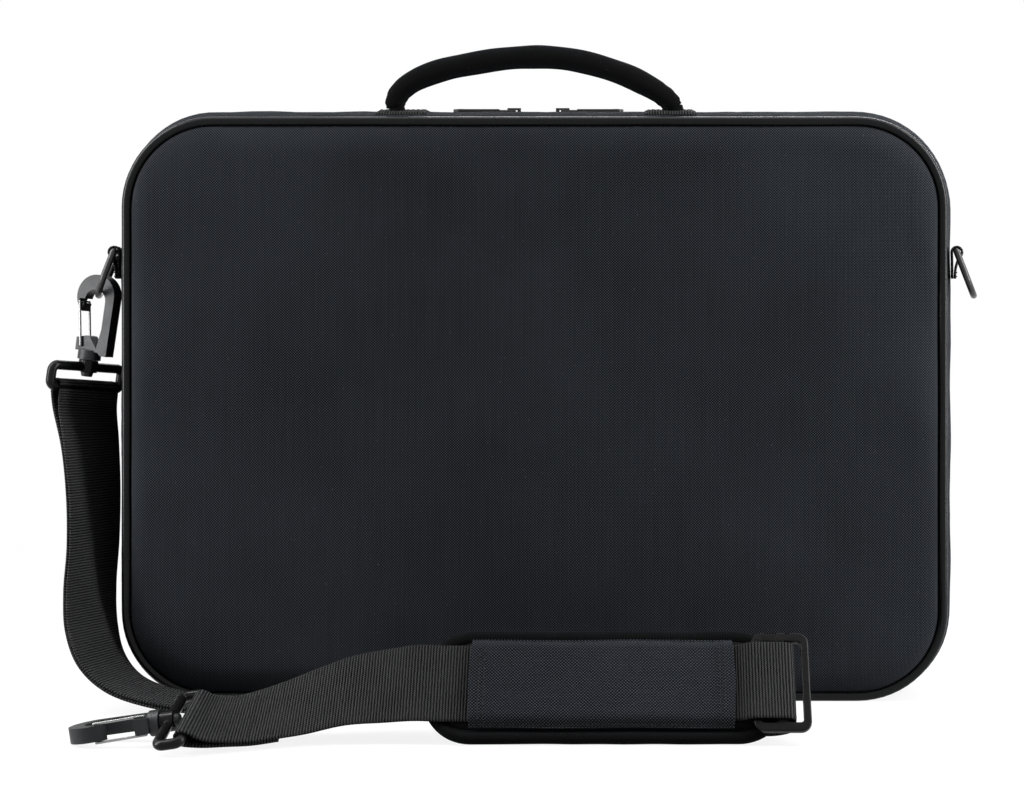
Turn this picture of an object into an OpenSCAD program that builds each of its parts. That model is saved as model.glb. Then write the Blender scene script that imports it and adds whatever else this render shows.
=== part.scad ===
// Zip-round laptop case with stiffened panels, a carry handle, side rings and a shoulder strap.
// +X is to the right of the plain rear face, +Y runs from the rear face to the pocket face, +Z is up.
// The origin is on the floor under the middle of the case.

/* [Case] */
// Width over the piping
case_w = 410; // [340:1:440]
// Height over the piping
case_h = 290; // [250:1:330]
// Depth from the rear panel's seam to the front panel's seam
case_d = 66; // [60:1:80]
// Corner radius of the outline
corner_r = 45; // [40:1:55]
// Depth of the lid half, from its seam to the middle of the zip
lid_d = 22; // [20:1:28]
// Thickness of the padded side wall
wall = 2.6; // [2:0.1:3]
// How far the side wall swells beyond the piping at mid depth
bulge = 6; // [4:0.5:7]
// Thickness of the stiffened panels
panel_t = 3.5; // [2.5:0.1:4.5]
// How far the rear panel stands proud of its seam
crown = 3; // [1.5:0.5:4]
// Diameter of the piping
piping_d = 4.4; // [3.6:0.2:5]

/* [Zip] */
// Diameter of each half of the zip's coil
coil_d = 2.4; // [2:0.1:2.8]
// Width of the slot between the two coils
coil_slot = 1.4; // [1.2:0.1:1.8]
// Width of the tape beside the coil
tape_w = 5.6; // [4.6:0.2:6]
// Thickness of the zip tape
tape_t = 1.2; // [0.8:0.1:1.4]
// Height above the floor at which the zip ends
zip_end = 55; // [50:1:80]
// Length of a zip slider
slider_l = 14; // [12:1:16]
// Length of a pull tab
pull_l = 32; // [24:1:36]

/* [Handle] */
// Thickness of the rolled handle
grip_d = 11.4; // [9:0.2:13]
// Distance between the two feet of the handle
grip_span = 135; // [120:1:150]
// Distance of the handle and the rings from the rear seam
attach_d = 19; // [17:1:20]

/* [Rings] */
// Diameter of the ring's wire
ring_wire = 3.3; // [2.8:0.1:3.6]
// Clear width inside a ring
ring_w = 26; // [25:1:28]
// Height of the ring's bar above the floor
ring_z = 223; // [200:1:240]
// Thickness of the webbing tab
tab_t = 1.3; // [1:0.1:1.5]

/* [Strap] */
// Width of the shoulder webbing
web_w = 38; // [36:1:38]
// Thickness of the shoulder webbing
web_t = 1.4; // [1.2:0.1:1.6]
// Length of the shoulder pad
pad_l = 164; // [150:1:170]
// Width of the shoulder pad
pad_w = 56; // [54:1:60]
// Thickness of the shoulder pad at its middle
pad_t = 8; // [6:0.5:9]

/* [Hooks] */
// Radius of the hook's seat
hook_r = 6; // [5.6:0.1:6.2]
// Thickness of the hook
hook_t = 7; // [6:0.5:8]
// Diameter of the gate's wire
gate_wire = 1.2; // [1:0.1:1.4]
// Diameter of the swivel's stem
stem_d = 3.6; // [3.2:0.1:4]

/* [Front pocket] */
// Width of the front pocket
pocket_w = 330; // [280:1:340]
// Height of the front pocket
pocket_h = 205; // [170:1:215]
// Thickness of the front pocket
pocket_t = 9; // [8:0.5:12]

/* [Hidden] */
$fn = 64;

// Clearances
seat = 0.3;     // between pieces that rest against each other
sewn = 0.15;    // between pieces that are stitched together
running = 0.08; // radial, of a pin in its bore

// Depth positions
rear_y = -(case_d + crown + pocket_t) / 2 + crown;
lid_y = rear_y + case_d;
mid_y = (rear_y + lid_y) / 2;
zip_y = lid_y - lid_d;
attach_y = rear_y + attach_d;
piping_r = piping_d / 2;
piping_in = 1; // depth of the piping's centre behind the seam plane
band_start = piping_in + piping_r + 0.05;

// The side wall swells as an arc. Offsets are measured outward from the outline over the piping.
edge_in = 1.2; // the wall starts this far inside the outline
bulge_r = (case_d * case_d / 4 + bulge * bulge) / (2 * bulge);
function swell(y) = bulge - bulge_r + sqrt(bulge_r * bulge_r - (y - mid_y) * (y - mid_y)) - edge_in;
attach_slope = asin((mid_y - attach_y) / bulge_r);

// Zip, in offsets and depths
coil_r = coil_d / 2;
coil_off = swell(zip_y) - 1.9;
coil_y = coil_slot / 2 + coil_r;
tape_in = coil_y + coil_r + 0.1;
tape_out = tape_in + tape_w;
plate_t = 1.3;
slider_w = 9.4;
slider_gap = 13; // from the middle of the closed zip to each slider's centre

// Handle
grip_r = grip_d / 2;
foot_x = grip_span / 2;
patch_t = 1.4;
handle_z = case_h + swell(attach_y) + patch_t + seat + grip_r;
top_arc_a = 19.5;
end_arc_r = 22;
end_arc_a = 64;
top_arc_r = end_arc_r + (foot_x - end_arc_r * sin(end_arc_a)) / sin(top_arc_a);

// Rings
ring_r = ring_wire / 2;
bar_off = tab_t + seat + ring_r + 0.1;
ring_bend = ring_w / 2 + ring_r;
ring_leg = 8.6;
ring_tilt = 21;
ring_x = case_w / 2 + swell(attach_y);

// Hooks, in the hook's own frame: the swivel axis is Z and the gate is on the -X side
seat_x = 1;
seat_z = 25.4;
back_r = hook_r + 4.8;
back_z = seat_z + 2.6;
flange_r = 5.8;
flange_h = 4.2;
boss_h = 6;
boss_r = 4.8;
bar_z = 8;
bar_gap = 10.5;
loop_rod = 2.4;
loop_bend = 3.2;
loop_w = web_w + 0.8 + 2 * loop_bend;
pivot = [-3.2, 2.6];
gate_top = [-7.2, 24.4];
gate_half = hook_t / 2 + gate_wire / 2 + 0.15;

// Shoulder pad, in a frame that leans on the floor
pad_lean = 53;
pad_x = 36;
pad_y = rear_y - 94.1;
pad_z = 24.8;
pad_edge = 3.4;
pad_end_r = 22;
bind_r = 2.4;
sleeve_l = 120;
sleeve_x = 34.8;
sleeve_w = 44;
sleeve_t = 1.2;
glide_w = 49;
glide_l = 26;
glide_t = 3;
glide_x = 116;
glide_slot = 7.5;
glide_bar = 3.6;

// --- Shared shapes ---

// Carries a profile round a rounded rectangle that stands in the XZ plane.
// In the profile, x is the offset outward from the outline and y is the depth.
module around(w, h, r) {
    translate([0, 0, h / 2]) rotate([-90, 0, 0])
        for (q = [0 : 3]) rotate(90 * q) {
            a = q % 2 == 0 ? w : h;
            b = q % 2 == 0 ? h : w;
            translate([a / 2 - r, b / 2 - r, 0]) rotate_extrude(angle = 90) translate([r, 0]) children();
            translate([a / 2, b / 2 - r, 0]) rotate([90, 0, 0]) linear_extrude(b - 2 * r) children();
        }
}

// A solid skinned over a list of rings, each with the same number of points. Opposite sides of the
// section are split along the same diagonal, so two layers laid together stay apart where they twist.
module skinned(rings) {
    n = len(rings[0]);
    last = (len(rings) - 1) * n;
    skin = [for (i = [0 : len(rings) - 2], j = [0 : n - 1])
        let (k = (j + 1) % n, p = i * n, q = p + n)
        each j < n / 2 ? [[p + j, q + j, q + k], [p + j, q + k, p + k]]
                       : [[p + j, q + j, p + k], [q + j, q + k, p + k]]];
    start = [for (j = [1 : n - 2]) [0, j, j + 1]];
    end = [for (j = [1 : n - 2]) [last, last + j + 1, last + j]];
    polyhedron([for (ring = rings) each ring], concat(skin, start, end));
}

// A rounded rectangle of exact arcs
module rounded(w, h, r) {
    square([w - 2 * r, h], center = true);
    square([w, h - 2 * r], center = true);
    for (x = [-1, 1], y = [-1, 1]) translate([x * (w / 2 - r), y * (h / 2 - r)]) circle(r);
}

// A rounded plate that stands in the XZ plane, from y0 to y1
module standing_plate(w, h, r, y0, y1) {
    translate([0, y1, h / 2]) rotate([90, 0, 0]) linear_extrude(y1 - y0) rounded(w, h, r);
}

// The swollen body of the case, as a filled form whose surface lies inset from the side wall
module swollen(inset, y0, y1) {
    around(case_w, case_h, corner_r)
        intersection() {
            translate([bulge - bulge_r - edge_in - inset, mid_y]) circle(bulge_r);
            translate([-corner_r, y0]) square([corner_r + bulge, y1 - y0]);
        }
    translate([corner_r - case_w / 2, y0, corner_r])
        cube([case_w - 2 * corner_r, y1 - y0, case_h - 2 * corner_r]);
}

module above(z) {
    translate([-case_w, -case_d * 2, z]) cube([case_w * 2, case_d * 4, case_h * 2]);
}

// One half's side wall, flat where it stands, with its edge cut back where the zip runs
module gusset(y0, y1, zip0, zip1) {
    difference() {
        intersection() {
            swollen(0, y0, y1);
            above(0);
        }
        intersection() {
            swollen(wall, y0 - 1, y1 + 1);
            above(wall);
        }
        translate([-case_w, zip0, zip_end]) cube([case_w * 2, zip1 - zip0, case_h]);
    }
}

// A panel with a rim that rolls down to its seam. Side is -1 for the rear and 1 for the front.
module rolled_panel(seam_y, side, rise) {
    inset = piping_d + 0.05;
    rim = 26;
    rim_r = (rim * rim + rise * rise) / (2 * rise);
    w = case_w - 2 * inset;
    h = case_h - 2 * inset;
    r = corner_r - inset;
    translate([0, 0, inset]) {
        around(w, h, r)
            intersection() {
                translate([-rim, seam_y + side * (rise - rim_r)]) circle(rim_r);
                translate([-rim, seam_y - (side > 0 ? panel_t : rise)]) square([rim, rise + panel_t]);
            }
        translate([rim - w / 2, seam_y - (side > 0 ? panel_t : rise), rim])
            cube([w - 2 * rim, rise + panel_t, h - 2 * rim]);
    }
}

module piping(w, h, r, y) {
    around(w, h, r) translate([-piping_r, y]) circle(piping_r);
}

// --- Zip ---

module zip_tape(side) {
    y0 = zip_y + side * tape_in;
    y1 = zip_y + side * tape_out;
    o0 = coil_off + 0.4;
    o1 = swell(y1) - wall / 2 + tape_t / 2;
    intersection() {
        around(case_w, case_h, corner_r)
            polygon([[o0, y0], [o1, y1], [o1 - tape_t, y1], [o0 - tape_t, y0]]);
        above(zip_end + seat);
    }
}

module zip_coil(side) {
    intersection() {
        around(case_w, case_h, corner_r) translate([coil_off, zip_y + side * coil_y]) circle(coil_r);
        above(zip_end + seat);
    }
}

// A zip slider that runs along X. Z = 0 is the middle of the coil.
module zip_slider() {
    gap = coil_r + seat;
    for (s = [0, 1]) mirror([0, 0, s]) translate([0, 0, gap]) linear_extrude(plate_t) {
        hull_l = slider_l - slider_w / 2;
        translate([-slider_l / 2, -slider_w / 2 + 1.2]) square([hull_l, slider_w - 2.4]);
        translate([hull_l - slider_l / 2, 0]) circle(slider_w / 2 - 1.2);
        translate([-slider_l / 2 + 1.2, -slider_w / 2]) square([hull_l - 2, slider_w]);
    }
    translate([slider_l / 2 - 5, 0, -gap - 0.1]) linear_extrude(2 * gap + 0.2)
        square([4, coil_slot - 2 * seat], center = true);
    // the bridge that the pull hangs from
    translate([-1, 0, gap + plate_t]) rotate([90, 0, 0]) linear_extrude(2, center = true)
        difference() {
            translate([-3, -0.1]) square([7, 2.9]);
            translate([-1.2, 0.6]) square([3.2, 1.2]);
        }
}

// A pull tab that lies along +X from its pin. The pin is at the origin and runs along Y.
module pull_tab() {
    pin_r = 0.45;
    for (s = [-1, 1]) translate([0, s * 2.2, 0]) rotate([0, 90, 0]) cylinder(r = pin_r + 0.1, h = 8);
    rotate([90, 0, 0]) cylinder(r = pin_r, h = 5.2, center = true);
    translate([8, 0, -0.7]) linear_extrude(1.6) difference() {
        union() {
            translate([0, -3.2]) square([pull_l - 12, 6.4]);
            translate([pull_l - 12, 0]) circle(3.9);
        }
        translate([pull_l - 12, 0]) circle(1.6);
    }
}

// --- Rear half ---

module rear_panel() {
    color("#20242a") rolled_panel(rear_y, -1, crown);
}

module rear_gusset() {
    color("#20242a")
        gusset(rear_y + band_start, zip_y - 0.2, zip_y - tape_out - sewn, zip_y);
}

module rear_piping() {
    color("#101114") piping(case_w, case_h, corner_r, rear_y + piping_in);
}

module rear_zip_tape() {
    color("#17181b") zip_tape(-1);
}

module rear_zip_coil() {
    color("#0c0c0e") zip_coil(-1);
}

module rear_lining() {
    inset = piping_d + wall + 0.6;
    color("#3a3c40") translate([0, 0, inset])
        standing_plate(case_w - 2 * inset, case_h - 2 * inset, corner_r - inset,
                       rear_y + panel_t + sewn, rear_y + panel_t + 4);
}

// A hook-and-loop strap that holds the laptop. Side is -1 for the left one.
module laptop_strap(side, y) {
    strap_w = 38;
    overlap = 32;
    inner_x = case_w / 2 + swell(y) - wall - seat;
    color("#26272b") translate([0, y, case_h / 2]) rotate([90, 0, 0])
        linear_extrude(1.6, center = true) mirror([side < 0 ? 1 : 0, 0]) {
            translate([-overlap, -strap_w / 2]) square([inner_x + overlap, strap_w]);
            translate([-overlap, 0]) circle(strap_w / 2);
        }
}

module laptop_strap_left() {
    laptop_strap(-1, zip_y - 16);
}

module laptop_strap_right() {
    laptop_strap(1, zip_y - 17.9);
}

// The fabric strip that lines the fold between the two halves
module hinge_strip() {
    strip_w = case_w - 2 * corner_r - 20;
    color("#1a1b1f") translate([-strip_w / 2, zip_y - 12, wall + sewn]) cube([strip_w, 18, 1.2]);
}

// Patches stitched to the top, under the two feet of the handle
module handle_anchors() {
    patch_l = 26;
    patch_w = 22;
    color("#191a1d") for (s = [-1, 1]) translate([s * foot_x, 0, case_h])
        rotate([0, -90, 0]) linear_extrude(patch_l, center = true)
            intersection() {
                difference() {
                    translate([bulge - bulge_r - edge_in + patch_t, mid_y]) circle(bulge_r);
                    translate([bulge - bulge_r - edge_in + sewn, mid_y]) circle(bulge_r);
                }
                translate([0, attach_y - patch_w / 2]) square([bulge + 4, patch_w]);
            }
}

// --- Rings and their tabs ---

// The frame of a ring's bar: X points outward from the wall and Y runs along the bar
module ring_frame(side) {
    mirror([side < 0 ? 1 : 0, 0, 0])
        translate([ring_x, attach_y, ring_z]) rotate([0, 0, -attach_slope])
            translate([bar_off, 0, 0]) children();
}

module ring_tab(side) {
    eye_in = ring_r + seat;
    eye_out = eye_in + tab_t;
    tab_l = 13;
    back = -bar_off + sewn;
    color("#1b1c20") ring_frame(side) rotate([90, 0, 0])
        linear_extrude(ring_w - 1, center = true) difference() {
            union() {
                circle(eye_out);
                polygon([[back, 0.5], [back, -tab_l], [back + 2 * tab_t, -tab_l],
                         [back + 2 * tab_t, -8], [eye_out - 0.2, -0.8]]);
            }
            circle(eye_in);
        }
}

module ring_tab_left() {
    ring_tab(-1);
}

module ring_tab_right() {
    ring_tab(1);
}

module ring(side) {
    color("#1d1e21") ring_frame(side) rotate([0, -ring_tilt, 0]) rotate([0, 90, 0]) {
        // the bar along Y, two straight legs and a half circle
        rotate([90, 0, 0]) cylinder(r = ring_r, h = 2 * ring_bend, center = true);
        for (s = [-1, 1]) translate([0, s * ring_bend, 0]) {
            sphere(ring_r);
            rotate([0, 90, 0]) cylinder(r = ring_r, h = ring_leg);
        }
        translate([ring_leg, 0, 0]) rotate(-90) rotate_extrude(angle = 180)
            translate([ring_bend, 0]) circle(ring_r);
    }
}

module ring_left() {
    ring(-1);
}

module ring_right() {
    ring(1);
}

// --- Handle ---

// The middle of the handle where its outer side faces a degrees away from straight up: a shallow
// arch over the top and a tight bend to each foot
function arch(a) =
    let (s = a < 0 ? -1 : 1, over = s * a > top_arc_a, k = over ? top_arc_r - end_arc_r : 0,
         r = over ? end_arc_r : top_arc_r)
    [s * k * sin(top_arc_a) + r * sin(a), k * cos(top_arc_a) + r * cos(a)];

// A round section at a, moved on by d times its radius so that it closes as a rounded foot
function grip_ring(a, d) =
    let (r = grip_r * sqrt(1 - d * d), p = arch(a) + d * grip_r * [cos(a), -sin(a)], low = arch(end_arc_a)[1])
    [for (b = [0 : 15 : 345])
        [p[0] + r * cos(b) * sin(a), attach_y + r * sin(b), handle_z - low + p[1] + r * cos(b) * cos(a)]];

module handle_grip() {
    foot = [0.98, 0.85, 0.5];
    ends = end_arc_a - top_arc_a;
    color("#0b0b0c") skinned(concat(
        [for (d = foot) grip_ring(-end_arc_a, -d)],
        [for (i = [0 : 7]) grip_ring(-end_arc_a + i * ends / 8, 0)],
        [for (i = [-5 : 5]) grip_ring(i * top_arc_a / 5, 0)],
        [for (i = [1 : 8]) grip_ring(top_arc_a + i * ends / 8, 0)],
        [for (i = [2, 1, 0]) grip_ring(end_arc_a, foot[i])]
    ));
}

// --- Lid half ---

module lid_panel() {
    inset = piping_d + 0.05;
    color("#20242a") translate([0, 0, inset])
        standing_plate(case_w - 2 * inset, case_h - 2 * inset, corner_r - inset, lid_y - panel_t, lid_y);
}

module lid_gusset() {
    color("#20242a")
        gusset(zip_y + 0.2, lid_y - band_start, zip_y, zip_y + tape_out + sewn);
}

module lid_piping() {
    color("#101114") piping(case_w, case_h, corner_r, lid_y - piping_in);
}

module lid_zip_tape() {
    color("#17181b") zip_tape(1);
}

module lid_zip_coil() {
    color("#0c0c0e") zip_coil(1);
}

module lid_lining() {
    inset = piping_d + wall + 0.6;
    color("#3a3c40") translate([0, 0, inset])
        standing_plate(case_w - 2 * inset, case_h - 2 * inset, corner_r - inset,
                       lid_y - panel_t - 2.5, lid_y - panel_t - sewn);
}

// A flat pocket for papers, open along its top
module organiser_pocket() {
    w = case_w - 60;
    h = case_h * 0.55;
    y1 = lid_y - panel_t - 2.5 - sewn;
    gap = 5;
    color("#2a2c31") translate([0, 0, wall + 8]) difference() {
        standing_plate(w, h, 20, y1 - gap - 1.2, y1);
        translate([0, 0, 3]) standing_plate(w - 6, h + 20, 18, y1 - gap, y1 + 1);
    }
}

// --- Front pocket ---

pocket_z = 22;
pocket_zip_z = pocket_h - 26;
pocket_zip_l = pocket_w - 56;
pocket_face = lid_y + pocket_t;

// The pocket's zip: Z = 0 is the middle of the zip, which runs along X
module pocket_zip_frame() {
    translate([0, pocket_face, pocket_z + pocket_zip_z]) children();
}

module front_pocket() {
    rim = 9;
    r = 32;
    y0 = lid_y + sewn;
    depth = pocket_face - y0;
    color("#20242a") difference() {
        translate([0, 0, pocket_z]) {
            around(pocket_w, pocket_h, r) intersection() {
                translate([-rim, pocket_face - rim]) circle(rim);
                translate([-rim, y0]) square([rim - piping_d / 2 + 0.2, depth]);
            }
            translate([rim - pocket_w / 2, y0, rim]) cube([pocket_w - 2 * rim, depth, pocket_h - 2 * rim]);
            around(pocket_w, pocket_h, r) translate([-r, y0]) square([r - rim, depth]);
        }
        pocket_zip_frame() {
            translate([-pocket_zip_l / 2, -5.2, -slider_w / 2 - 0.6])
                cube([pocket_zip_l, 10, slider_w + 1.2]);
            translate([-pocket_zip_l / 2, -1.4, -tape_out - sewn])
                cube([pocket_zip_l, 5, 2 * (tape_out + sewn)]);
        }
        translate([0, 0, pocket_z]) around(pocket_w, pocket_h, r)
            translate([-piping_r, lid_y + piping_r + sewn]) circle(piping_r + sewn);
    }
}

module pocket_piping() {
    r = 32;
    color("#101114") translate([0, 0, pocket_z]) around(pocket_w, pocket_h, r)
        translate([-piping_r, lid_y + piping_r + sewn]) circle(piping_r);
}

module pocket_zip_tape() {
    color("#17181b") pocket_zip_frame() for (s = [0, 1]) mirror([0, 0, s])
        translate([-pocket_zip_l / 2 + seat, -1.2, tape_in])
            cube([pocket_zip_l - 2 * seat, 1.1, tape_out - tape_in]);
}

module pocket_zip_coil() {
    color("#0c0c0e") pocket_zip_frame() for (s = [-1, 1])
        translate([0, -coil_r, s * coil_y]) rotate([0, 90, 0])
            cylinder(r = coil_r, h = pocket_zip_l - 4, center = true);
}

module pocket_slider_frame() {
    pocket_zip_frame() translate([-pocket_zip_l / 2 + 14, -coil_r, 0]) rotate([-90, 0, 0]) children();
}

module pocket_slider() {
    color("#2b2c2f") pocket_slider_frame() zip_slider();
}

module pocket_pull() {
    color("#2b2c2f") pocket_slider_frame() translate(pull_pin) pull_tab();
}

// --- Zip sliders of the case ---

pull_pin = [-1, 0, coil_r + seat + plate_t + 1.2];

module slider_frame(side) {
    translate([side * slider_gap, zip_y, case_h + coil_off]) mirror([side < 0 ? 1 : 0, 0, 0]) children();
}

module slider_left() {
    color("#2b2c2f") slider_frame(-1) zip_slider();
}

module slider_right() {
    color("#2b2c2f") slider_frame(1) zip_slider();
}

module pull_left() {
    color("#2b2c2f") slider_frame(-1) translate(pull_pin) pull_tab();
}

module pull_right() {
    color("#2b2c2f") slider_frame(1) translate(pull_pin) pull_tab();
}

// --- Snap hooks ---

module hook_profile() {
    inner_l = seat_x - hook_r;
    inner_r = seat_x + hook_r;
    outer_r = seat_x + back_r;
    difference() {
        union() {
            translate([seat_x, back_z]) circle(back_r);
            polygon([[inner_r, back_z], [outer_r, back_z], [outer_r - 0.2, -1.5], [outer_r - 3.6, -1.5],
                     [flange_r - 1, 1.6]]);
            polygon([[-6.5, 0], [-6.7, 6.4], [-1, 7.8], [0.8, 7.6], [5.5, 1.8], [8, 1.8], [8, 0]]);
        }
        translate([seat_x, seat_z]) circle(hook_r);
        // the throat, from the nose to the spine and down to the base
        polygon([[-back_r, 19.5], [inner_l - 0.8, 19.5], [inner_l, seat_z], [inner_r, seat_z],
                 [inner_r, 12], [5.5, 1.8], [0.8, 7.6], [-1, 7.8], [-6.7, 6.4], [-back_r, 8]]);
        // the notch that the gate closes into
        translate([gate_top[0] - gate_wire / 2 - 0.2, gate_top[1] - gate_wire / 2 - 0.2])
            square([6, gate_wire + 1.1]);
    }
}

module snap_hook() {
    color("#43464c") difference() {
        union() {
            rotate([90, 0, 0]) linear_extrude(hook_t, center = true) hook_profile();
            translate([0, 0, -flange_h]) cylinder(r = flange_r, h = flange_h + 0.6);
            translate([0, 0, -flange_h - boss_h - 1]) cylinder(r = stem_d / 2, h = boss_h + 2);
            translate([0, 0, -flange_h - boss_h - 2.6]) cylinder(r1 = 2.6, r2 = 3.2, h = 2);
        }
        // bore of the gate's pivot
        translate([pivot[0], 0, pivot[1]]) rotate([90, 0, 0])
            cylinder(r = gate_wire / 2 + running, h = hook_t + 2, center = true);
    }
}

module wire_gate() {
    r = gate_wire / 2;
    reach = gate_top - pivot;
    run = norm(reach);
    color("#c9cbcd") translate([pivot[0], 0, pivot[1]]) rotate([0, atan2(reach[0], reach[1]), 0]) {
        for (s = [-1, 1]) {
            translate([0, s * gate_half, 0]) {
                sphere(r);
                cylinder(r = r, h = run);
                translate([0, 0, run]) sphere(r);
            }
            translate([0, s * (gate_half - 1.5), 0]) rotate([90, 0, 0])
                cylinder(r = r, h = 3, center = true);
        }
        translate([0, 0, run]) rotate([90, 0, 0]) cylinder(r = r, h = 2 * gate_half, center = true);
    }
}

// The eye that the webbing passes through: a boss on the stem and a ring of round rod
module swivel_loop() {
    color("#17181a") difference() {
        union() {
            translate([0, 0, -flange_h - seat - boss_h]) cylinder(r = boss_r, h = boss_h);
            translate([0, 0, -bar_z - bar_gap]) around(loop_w, bar_gap, loop_bend) circle(loop_rod);
        }
        translate([0, 0, -flange_h - boss_h - 2]) cylinder(r = stem_d / 2 + running, h = boss_h + 4);
    }
}

// The clipped hook hangs from the left ring, leaning out from the case
ring_drop = ring_leg + ring_bend;
ring_out = bar_off + ring_drop * sin(ring_tilt);
ring_low = [-ring_x - ring_out * cos(attach_slope), attach_y - ring_out * sin(attach_slope),
            ring_z - ring_drop * cos(ring_tilt)];
ring_play = 1.3; // the ring's wire is curved where the hook sits on it
hook_a_lean = 8;
hook_a_turn = -20;
loop_a_turn = 55;
seat_side = seat_x * cos(hook_a_turn);
hook_a_at = ring_low - [0, 0, hook_r - ring_r - ring_play]
    - [seat_side * cos(hook_a_lean) + seat_z * sin(hook_a_lean), seat_x * sin(hook_a_turn),
       seat_z * cos(hook_a_lean) - seat_side * sin(hook_a_lean)];

// The loose hook lies on the floor in front of the case
hook_b_at = [39.6 - case_w / 2, rear_y - 110, 10.2];
hook_b_yaw = -7;
hook_b_dip = 9;
loop_b_turn = -18;

module hook_a_frame() {
    translate(hook_a_at) rotate([0, hook_a_lean, 0]) children();
}

module hook_b_frame() {
    translate(hook_b_at) rotate([0, 0, hook_b_yaw]) rotate([0, -hook_b_dip, 0])
        rotate([-90, 0, 0]) rotate([0, -90, 0]) children();
}

module hook_a() {
    hook_a_frame() rotate(hook_a_turn) snap_hook();
}

module gate_a() {
    hook_a_frame() rotate(hook_a_turn) wire_gate();
}

module loop_a() {
    hook_a_frame() rotate(loop_a_turn) swivel_loop();
}

module hook_b() {
    hook_b_frame() snap_hook();
}

module gate_b() {
    hook_b_frame() wire_gate();
}

module loop_b() {
    hook_b_frame() rotate(loop_b_turn) swivel_loop();
}

// --- Webbing ---
// A route is a list of [x, y, z, heading, rise]: the middle of the webbing, and the direction of its
// width, turned from +X by heading and lifted from level by rise.

function width_dir(p) = [cos(p[3]) * cos(p[4]), sin(p[3]) * cos(p[4]), sin(p[4])];
function at(p) = [p[0], p[1], p[2]];
function unit(v) = v / norm(v);
function mix(a, b, t) = a + (b - a) * t;
function along(r, i) = unit(at(r[min(i + 1, len(r) - 1)]) - at(r[max(i - 1, 0)]));
function face(r, i) = unit(cross(along(r, i), width_dir(r[i])));

// A place of a route moved off by s, square to the webbing's face
function shifted(r, i, s) =
    let (p = at(r[i]) + face(r, i) * s) [p[0], p[1], p[2], r[i][3], r[i][4]];

// A place in the pad's frame
function on_pad(x, y, z) = [x, pad_y + y * cos(pad_lean) - z * sin(pad_lean),
                            pad_z + y * sin(pad_lean) + z * cos(pad_lean), 90, pad_lean];

// A place round a bar: a is the angle from the direction that the webbing leaves in
turn_r = loop_rod + seat + web_t / 2;
function round_bar(bar, lie, out, r, a) =
    let (w = width_dir([0, 0, 0, lie[0], lie[1]]), e = unit(out - w * (out * w)), f = cross(e, w),
         p = bar + r * (cos(a) * e + sin(a) * f)) [p[0], p[1], p[2], lie[0], lie[1]];

// The webbing's section: eight corners with its edges taken off
function web_ring(r, i) =
    let (w = width_dir(r[i]), n = face(r, i), c = at(r[i]),
         a = web_w / 2, b = web_t / 2, e = web_t / 4)
    [for (q = [[a, -b + e], [a, b - e], [a - e, b], [-a + e, b],
               [-a, b - e], [-a, -b + e], [-a + e, -b], [a - e, -b]]) c + w * q[0] + n * q[1]];

module webbing(r) {
    color("#2a2c30") skinned([for (i = [0 : len(r) - 1]) web_ring(r, i)]);
}

// The single stretch: from the eye on the floor, under the pad's sleeve and over the strap slider
bar_b = hook_b_at + (bar_z + bar_gap)
    * [cos(hook_b_dip) * cos(hook_b_yaw), cos(hook_b_dip) * sin(hook_b_yaw), sin(hook_b_dip)];
lie_b = [86, 18];
pad_end = pad_x - pad_l / 2;
free_run = [for (q = [[0.08, 1, -0.6, 88, 19], [0.17, 4.5, -1.3, 90, 22], [0.27, 9, -0.6, 90, 27],
                      [0.38, 13.5, 1.4, 90, 32], [0.49, 17, 4, 90, 38], [0.66, 19.2, 8.7, 90, 44],
                      [0.84, 18.3, 11.2, 90, 50]])
    [mix(bar_b[0], pad_end, q[0]), bar_b[1] + q[1], bar_b[2] + q[2], q[3], q[4]]];
slide_z = 2 * seat + glide_t + web_t / 2 + 0.15;
single_route = concat(
    [for (q = [[3, -1.8], [2, -1.8], [1, -2], [0, -3.4]]) shifted(free_run, q[0], q[1])],
    [for (a = [-95 : -34 : -299]) round_bar(bar_b, lie_b, [1, 0, 0], turn_r, a)],
    free_run,
    [on_pad(pad_end - 4, 0, 1.6), on_pad(pad_end + 8, 0, 1.1), on_pad(pad_x - 20, 0, 1),
     on_pad(pad_x + 50, 0, 1), on_pad(glide_x - 24, 0, 1), on_pad(glide_x - 18, 0, 2.5),
     on_pad(glide_x - 13, 0, slide_z), on_pad(glide_x + 1, 0, slide_z), on_pad(glide_x + 4.5, 0, 3.9),
     on_pad(glide_x + 5.6, 0, 2.2)]
);

// The doubled stretch, from the strap slider behind the pad and along the floor to the clipped hook
side_x = -case_w / 2;
double_route = concat(
    [on_pad(glide_x + 4.6, 0, 1.7), on_pad(glide_x + 4.6, 0, -6), on_pad(glide_x + 3.4, 0, -9.6),
     on_pad(glide_x, 0, -11.6), on_pad(glide_x - 6, 0, -12.8)],
    [for (q = [[0.08, -81, 17, 50], [0.17, -71, 16, 45], [0.26, -59, 13.8, 37], [0.35, -48, 10.8, 27],
               [0.44, -39, 7.8, 17], [0.53, -33, 5.2, 9], [0.62, -29.5, 3.4, 3], [0.76, -28, 2.6, 0],
               [0.9, -27, 2.6, 0], [1, -25.5, 3.2, 0]])
        [mix(glide_x, side_x + 47, q[0]), rear_y + q[1], q[2], 90, q[3]]],
    [for (q = [[24, -23.5, 6.2, 85], [6, -20.5, 12.5, 78], [-6, -15, 23, 71], [-12.5, -8.5, 38, 66],
               [-15, -1.5, 56, 65], [-15, 5, 78, 65], [-16, 9.5, 103, 63], [-18.5, 13, 127, 59]])
        [side_x + q[0], rear_y + q[1], q[2], q[3], 0]]
);

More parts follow.
